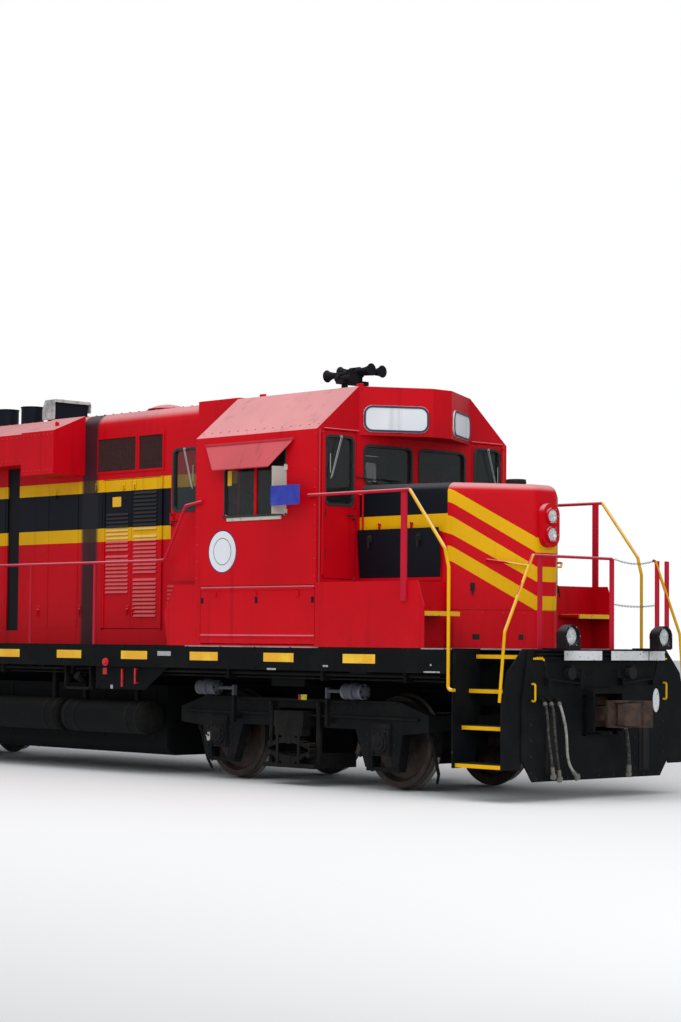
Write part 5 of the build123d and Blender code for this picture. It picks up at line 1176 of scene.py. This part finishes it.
# Cover over the box on the roof: a pale plastic sheet thrown over its lid, hanging down at the
# right-hand end and the back, stiff and creased.
film = Finish("roof_cover_film")
crease = film.noise(16, 6)
soil = film.noise(5, 4, shift=3)
tone = film.blend(soil.ramp(0.35, 0.7), (0.50, 0.51, 0.50), (0.22, 0.23, 0.22))
film.surface(tone, 0.38 + crease * 0.3, crease, step=0.004)
lid_x, lid_y, lid_top = (-1.330, -1.105), (-0.290, 0.290), 4.9065
cut_x, cut_y = (-1.46, -1.06), (-0.58, 0.45)
columns, lines_across = 46, 90
clear = 0.004
shape = Shape()
grid = []
for i in range(columns + 1):
    u = cut_x[0] + (cut_x[1] - cut_x[0]) * i / columns
    over_u = max(lid_x[0] - u, u - lid_x[1], 0)
    way_u = -1 if u < lid_x[0] else 1
    grid.append([])
    for j in range(lines_across + 1):
        v = cut_y[0] + (cut_y[1] - cut_y[0]) * j / lines_across
        over_v = max(lid_y[0] - v, v - lid_y[1], 0)
        way_v = -1 if v < lid_y[0] else 1
        drop, flare = max(over_u, over_v), min(over_u, over_v)
        broad, fine = noise.noise(Vector((u * 9, v * 9, 1.7))), noise.noise(Vector((u * 24, v * 24, 4.1)))
        ripple = max(0, broad * 0.5 + fine * 0.35)
        stand = clear + ripple * 0.018 * min(1, drop * 14 + 0.25)
        out_u = (over_u > 0) * (clear + flare * 0.22 + stand * (over_u > over_v))
        out_v = (over_v > 0) * (clear + flare * 0.18 + stand * (over_v >= over_u))
        x = min(max(u, lid_x[0]), lid_x[1]) + way_u * out_u
        y = min(max(v, lid_y[0]), lid_y[1]) + way_v * out_v
        z = lid_top + 0.0025 + ripple * 0.006 - drop * 0.97
        grid[i].append(shape.mesh.verts.new((x, y, z)))
for first, second in zip(grid, grid[1:]):
    for j in range(lines_across):
        shape.mesh.faces.new((first[j], second[j], second[j + 1], first[j + 1]))
cover_sheet = shape.piece("roof_box_cover", film, "white_panel", shell=0.0015)

# Lamps: red housings with two lamps each on the nose and the rear, black ditch lights on posts, the
# enamelled number boards and the black horns.
finish = Finish("lamp_housings")
headlights = abs(finish.y) < 0.2
cover("lamps", paint_over(finish, finish.blend(headlights, (0.006, 0.006, 0.008), red)))
cover("number_boards", paint_over(Finish("number_board_white"), (0.74, 0.77, 0.80)))
cover("horn", dark_paint("horn_black", (0.008, 0.009, 0.012), 0.2))

# Lenses and reflectors: polished bowls behind clear ribbed glass, two over each other at both ends
# and one in each ditch light, each held by a ring of six screws.
chrome = Finish("reflector_chrome")
mottle = chrome.noise(20, 3)
tone = chrome.blend(mottle.ramp(0.4, 0.6), (0.30, 0.31, 0.33), (0.72, 0.73, 0.74))
chrome.surface(tone, 0.10 + mottle * 0.1, metal=0.95)
lens = Finish("lamp_lens")
rib = lens.node("ShaderNodeTexWave", {"bands_direction": "Z"}, {"Vector": lens.place, "Scale": 40.0})
lens.close(lens.node("ShaderNodeBsdfPrincipled", {}, {
    "Base Color": (0.92, 0.95, 0.96), "Roughness": 0.06 + lens.noise(9, 3) * 0.06, "Alpha": 0.24,
    "Specular IOR Level": 0.9,
    "Normal": lens.node("ShaderNodeBump", {}, {"Strength": 0.3, "Distance": 0.002, "Height": rib})}))
# Columns: middle of the lens, way it looks, radius, depth of the bowl, radius and offset of the screws.
headlight, ditch_light = (0.073, 0.036, 0.083, 0.0095), (0.0965, 0.024, 0.108, 0.0345)
lights = [((7.620, 0, 2.828), 1, *headlight), ((7.620, 0, 3.030), 1, *headlight),
          ((-7.533, 0, 3.927), -1, *headlight), ((-7.533, 0, 4.129), -1, *headlight),
          ((8.541, -0.763, 1.72), 1, *ditch_light), ((8.541, 0.763, 1.72), 1, *ditch_light)]
bowl_profile = [(0.20, -1.0), (0.45, -0.95), (0.70, -0.78), (0.90, -0.45), (1.0, -0.05)]
glass_profile = [(0.16, 0.52), (0.45, 0.46), (0.72, 0.32), (0.90, 0.15), (0.995, 0.0)]
bowls, glasses = Shape(), Shape()
rows = []
for place, way, radius, depth, screw_radius, out in lights:
    seat = toward(place, (way, 0, 0))
    for shape, scale, profile in ((bowls, depth, bowl_profile), (glasses, radius * 0.34, glass_profile)):
        loops = [loop(shape.mesh, seat, circle(radius * share, 32), scale * level)
                 for share, level in profile]
        for first, second in zip(loops, loops[1:]):
            bridge(shape.mesh, first, second)
        shape.mesh.faces.new(loops[0])
    bowls.link(seat @ Vector((0, 0, -depth)), seat @ Vector((0, 0, -depth * 0.35)), radius * 0.13, 12)
    x, y, z = place
    rows += [((x + way * out, y + u, z + v), (way, 0, 0)) for u, v in circle(screw_radius, 6)]
bowls.piece("lamp_reflectors", chrome, "cast_steel", shell=0.002)
glasses.piece("lamp_lenses", lens, "window_glass", shell=0.002)
bolts("bezel_screws", rows, 0.006, 0.004, wiper_steel, "dark_steel")

# Rims of the two blank number boards: a navy frame pressed round each of them, flush with the
# slanting corner of the cab's brow.
navy = worn("number_board_rim", 20, 4, (0.5, 0.8), (0.012, 0.016, 0.05), (0.05, 0.05, 0.07), 0.45, 0.2)
shape = Shape()
lean = Vector((0.43, 0.758, 0)).normalized()
for side in both:
    way = Vector((lean.y, side * lean.x, 0))
    middle = Vector((5.725, side * 0.534, 4.173)) + way * 0.0183
    add_ring(shape.mesh, toward(middle, way), 0.722, 0.252, 0.078, 0.024, -0.004, 0.007)
shape.piece("number_board_rims", navy, "dark_steel", edge=0.002)

# Handrails: bent steel pipe, red along the hood, cab and ends, and safety yellow where it drops to
# the steps. The flat posts of the end rails are red.
finish = Finish("handrail_paint")
reach, away = abs(finish.x), abs(finish.y)
at_steps = reach.inside(7.0, 7.70).either((reach > 8.20) * (away > 1.0))
rear_corner = (finish.x < -7.0) * (finish.z > 2.57)
flat_posts = reach.inside(8.22, 8.2425) * away.inside(1.011, 1.079).either(away.inside(1.181, 1.249))
stair = at_steps * (1 - rear_corner) * (1 - flat_posts)
cover("handrails", paint_over(finish, finish.blend(stair, (0.50, 0.01, 0.03), yellow)))

# Safety chains across the gap in each end rail: galvanised links, dull grey, hooked to the posts and
# turned crosswise to each other.
zinc = worn("chain_zinc", 60, 3, None, (0.10, 0.10, 0.10), (0.28, 0.28, 0.27), 0.5, 0.2, 0.7)
links = Pattern("chain_links", {"Size": 0.015, "Wire": 0.003})
around = "GeometryNodeCurvePrimitiveCircle"
ring = links.node(around, {}, {"Resolution": 10, "Radius": links.given("Size")})
wire = links.node(around, {}, {"Resolution": 5, "Radius": links.given("Wire")})
eye = links.node("GeometryNodeCurveToMesh", {}, {0: ring, 1: wire})
eye = links.node("GeometryNodeTransform", {}, {0: eye, "Scale": (0.62, 1, 1)})
links.place({"Instance": eye, "Rotation": links.facing()})
rows = []
for end in both:
    for height, sag in ((2.560, 0.045), (2.068, 0.02)):
        for k in range(28):
            part_way = (k + 0.5) / 28
            z = height - sag * 4 * part_way * (1 - part_way)
            place = (end * 8.232, end * (0.305 + 0.705 * part_way), z)
            rows.append((place, (1, 0, 0) if k % 2 else upward))
links.make("end_chains", marks(rows), {"Size": 0.0165, "Wire": 0.0032}, zinc, "dark_steel")

# Cab seats: black vinyl cushions on steel pedestals. They take the place of the plain furniture of
# the frame. Each cushion is a block with its edges drawn in, its face crowned and its seams pressed.
vinyl = Finish("seat_vinyl")
hide = vinyl.node("ShaderNodeTexVoronoi", {}, {"Vector": vinyl.place, "Scale": 380.0})
shine = vinyl.noise(7, 4)
tone = vinyl.blend(shine.ramp(0.4, 0.7), (0.014, 0.014, 0.015), (0.035, 0.033, 0.030))
vinyl.surface(tone, 0.38 + shine * 0.25, hide + shine, step=0.001)
cushions = Shape()
for y in (-1.23, 1.23):
    for centre, half in (((4.37, y, 2.80), (0.215, 0.205, 0.055)), ((4.115, y, 3.12), (0.042, 0.200, 0.24))):
        thin = half.index(min(half))
        wide, long = (axis for axis in range(3) if axis != thin)
        block = bmesh.new()
        bmesh.ops.create_cube(block, size=2)
        bmesh.ops.subdivide_edges(block, edges=block.edges, cuts=13, use_grid_fill=True)
        for vert in block.verts:
            p = vert.co.copy()
            crown = (1 - abs(p[wide]) ** 3.2 * 0.55) * (1 - abs(p[long]) ** 3.2 * 0.55)
            for axis in (wide, long):
                p[axis] *= 1 - 0.035 * abs(p[thin]) ** 2
            p[thin] *= 0.45 + 0.55 * crown
            seam = 0.05 * max(0, cos(p[long] * pi * 3)) ** 10 * (abs(p[thin]) > 0.3)
            p[thin] *= 1 - seam
            vert.co = [centre[axis] + half[axis] * p[axis] for axis in range(3)]
        shaped = bpy.data.meshes.new("cushion")
        block.to_mesh(shaped)
        block.free()
        cushions.mesh.from_mesh(shaped)
        bpy.data.meshes.remove(shaped)
pads = cushions.piece("seat_cushions", vinyl, "seat_vinyl")
for face in pads.data.polygons:
    face.use_smooth = True
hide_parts("cab_furniture")
shape = Shape(sides)
shape.rod(4.35, 1.23, (2.33, 2.70), 0.045, 16)
shape.rod(4.35, 1.23, (2.33, 2.35), 0.17, 20)
shape.bar((4.17, 4.56), about(1.23, 0.19), (2.70, 2.742))
for y in about(1.23, 0.17):
    shape.rod(4.10, y, (2.74, 3.0), 0.012, 8)
shape.piece("seat_frames", dark_paint("seat_frame_grey", (0.05, 0.05, 0.05), 0.3), "cab_interior", edge=0.002)

# Control stand: a grey-green steel desk at the right-hand seat, with three levers and three blank
# dials.
desk_paint = worn("cab_desk_green", 12, 4, (0.55, 0.75), (0.16, 0.20, 0.16), (0.08, 0.09, 0.08), 0.5, 0.2)
shape = Shape()
shape.bar((4.78, 5.18), (-0.82, -0.44), (2.335, 3.02))
shape.bar((4.90, 5.19), (-0.83, -0.43), (3.02, 3.25))
for k in range(3):
    shape.rod((4.84, 4.80), -0.74 + 0.1 * k, (3.02, 3.14), 0.008, 8)
    shape.rod((4.80, 4.795), -0.74 + 0.1 * k, (3.13, 3.165), 0.016, 10)
    shape.rod((4.902, 4.890), -0.74 + 0.12 * k, 3.15, 0.045, 20)
shape.piece("control_stand", desk_paint, "cab_interior", edge=0.006)

# Floor and light: a pale studio floor, a white surround, and a broad soft lamp overhead.
# A second lamp stands ahead of the nose.
ground = Finish("studio_floor")
ground.surface((0.80, 0.80, 0.80), 0.9 + ground.noise(1, 1) * 0.02)
floor_mesh = bpy.data.meshes.new("floor")
floor_mesh.from_pydata([(-150, -150, 0), (150, -150, 0), (150, 150, 0), (-150, 150, 0)], [], [(0, 1, 2, 3)])
floor_mesh.materials.append(ground.material)
floor = bpy.data.objects.new("floor", floor_mesh)
bpy.context.collection.objects.link(floor)
for name, place, size, power in (("sky_lamp", (6, -6, 14), 16, 1500), ("front_lamp", (20, -8, 7), 8, 500)):
    lamp_data = bpy.data.lights.new(name, "AREA")
    lamp_data.size = size
    lamp_data.energy = power
    lamp = bpy.data.objects.new(name, lamp_data)
    lamp.location = place
    lamp.rotation_mode = "QUATERNION"
    lamp.rotation_quaternion = (Vector((2, 0, 1.5)) - Vector(place)).to_track_quat("-Z", "Y")
    bpy.context.collection.objects.link(lamp)
world = bpy.data.worlds.new("surround")
world.use_nodes = True
bpy.context.scene.world = world
sky = Nodes()
sky.tree = world.node_tree
sky.tree.nodes.clear()
camera_ray = sky.node("ShaderNodeLightPath", {}, {}, "Is Camera Ray")
through_glass = sky.node("ShaderNodeLightPath", {}, {}, "Is Transmission Ray")
soft = sky.node("ShaderNodeBackground", {}, {0: (0.93, 0.96, 1), 1: 0.62})
white = sky.node("ShaderNodeBackground", {}, {0: (1, 1, 1), 1: 1.0})
surround = sky.node("ShaderNodeMixShader", {}, {0: camera_ray.either(through_glass), 1: soft, 2: white})
sky.tree.links.new(surround.socket, sky.tree.nodes.new("ShaderNodeOutputWorld").inputs[0])
bpy.context.scene.view_settings.view_transform = "Standard"
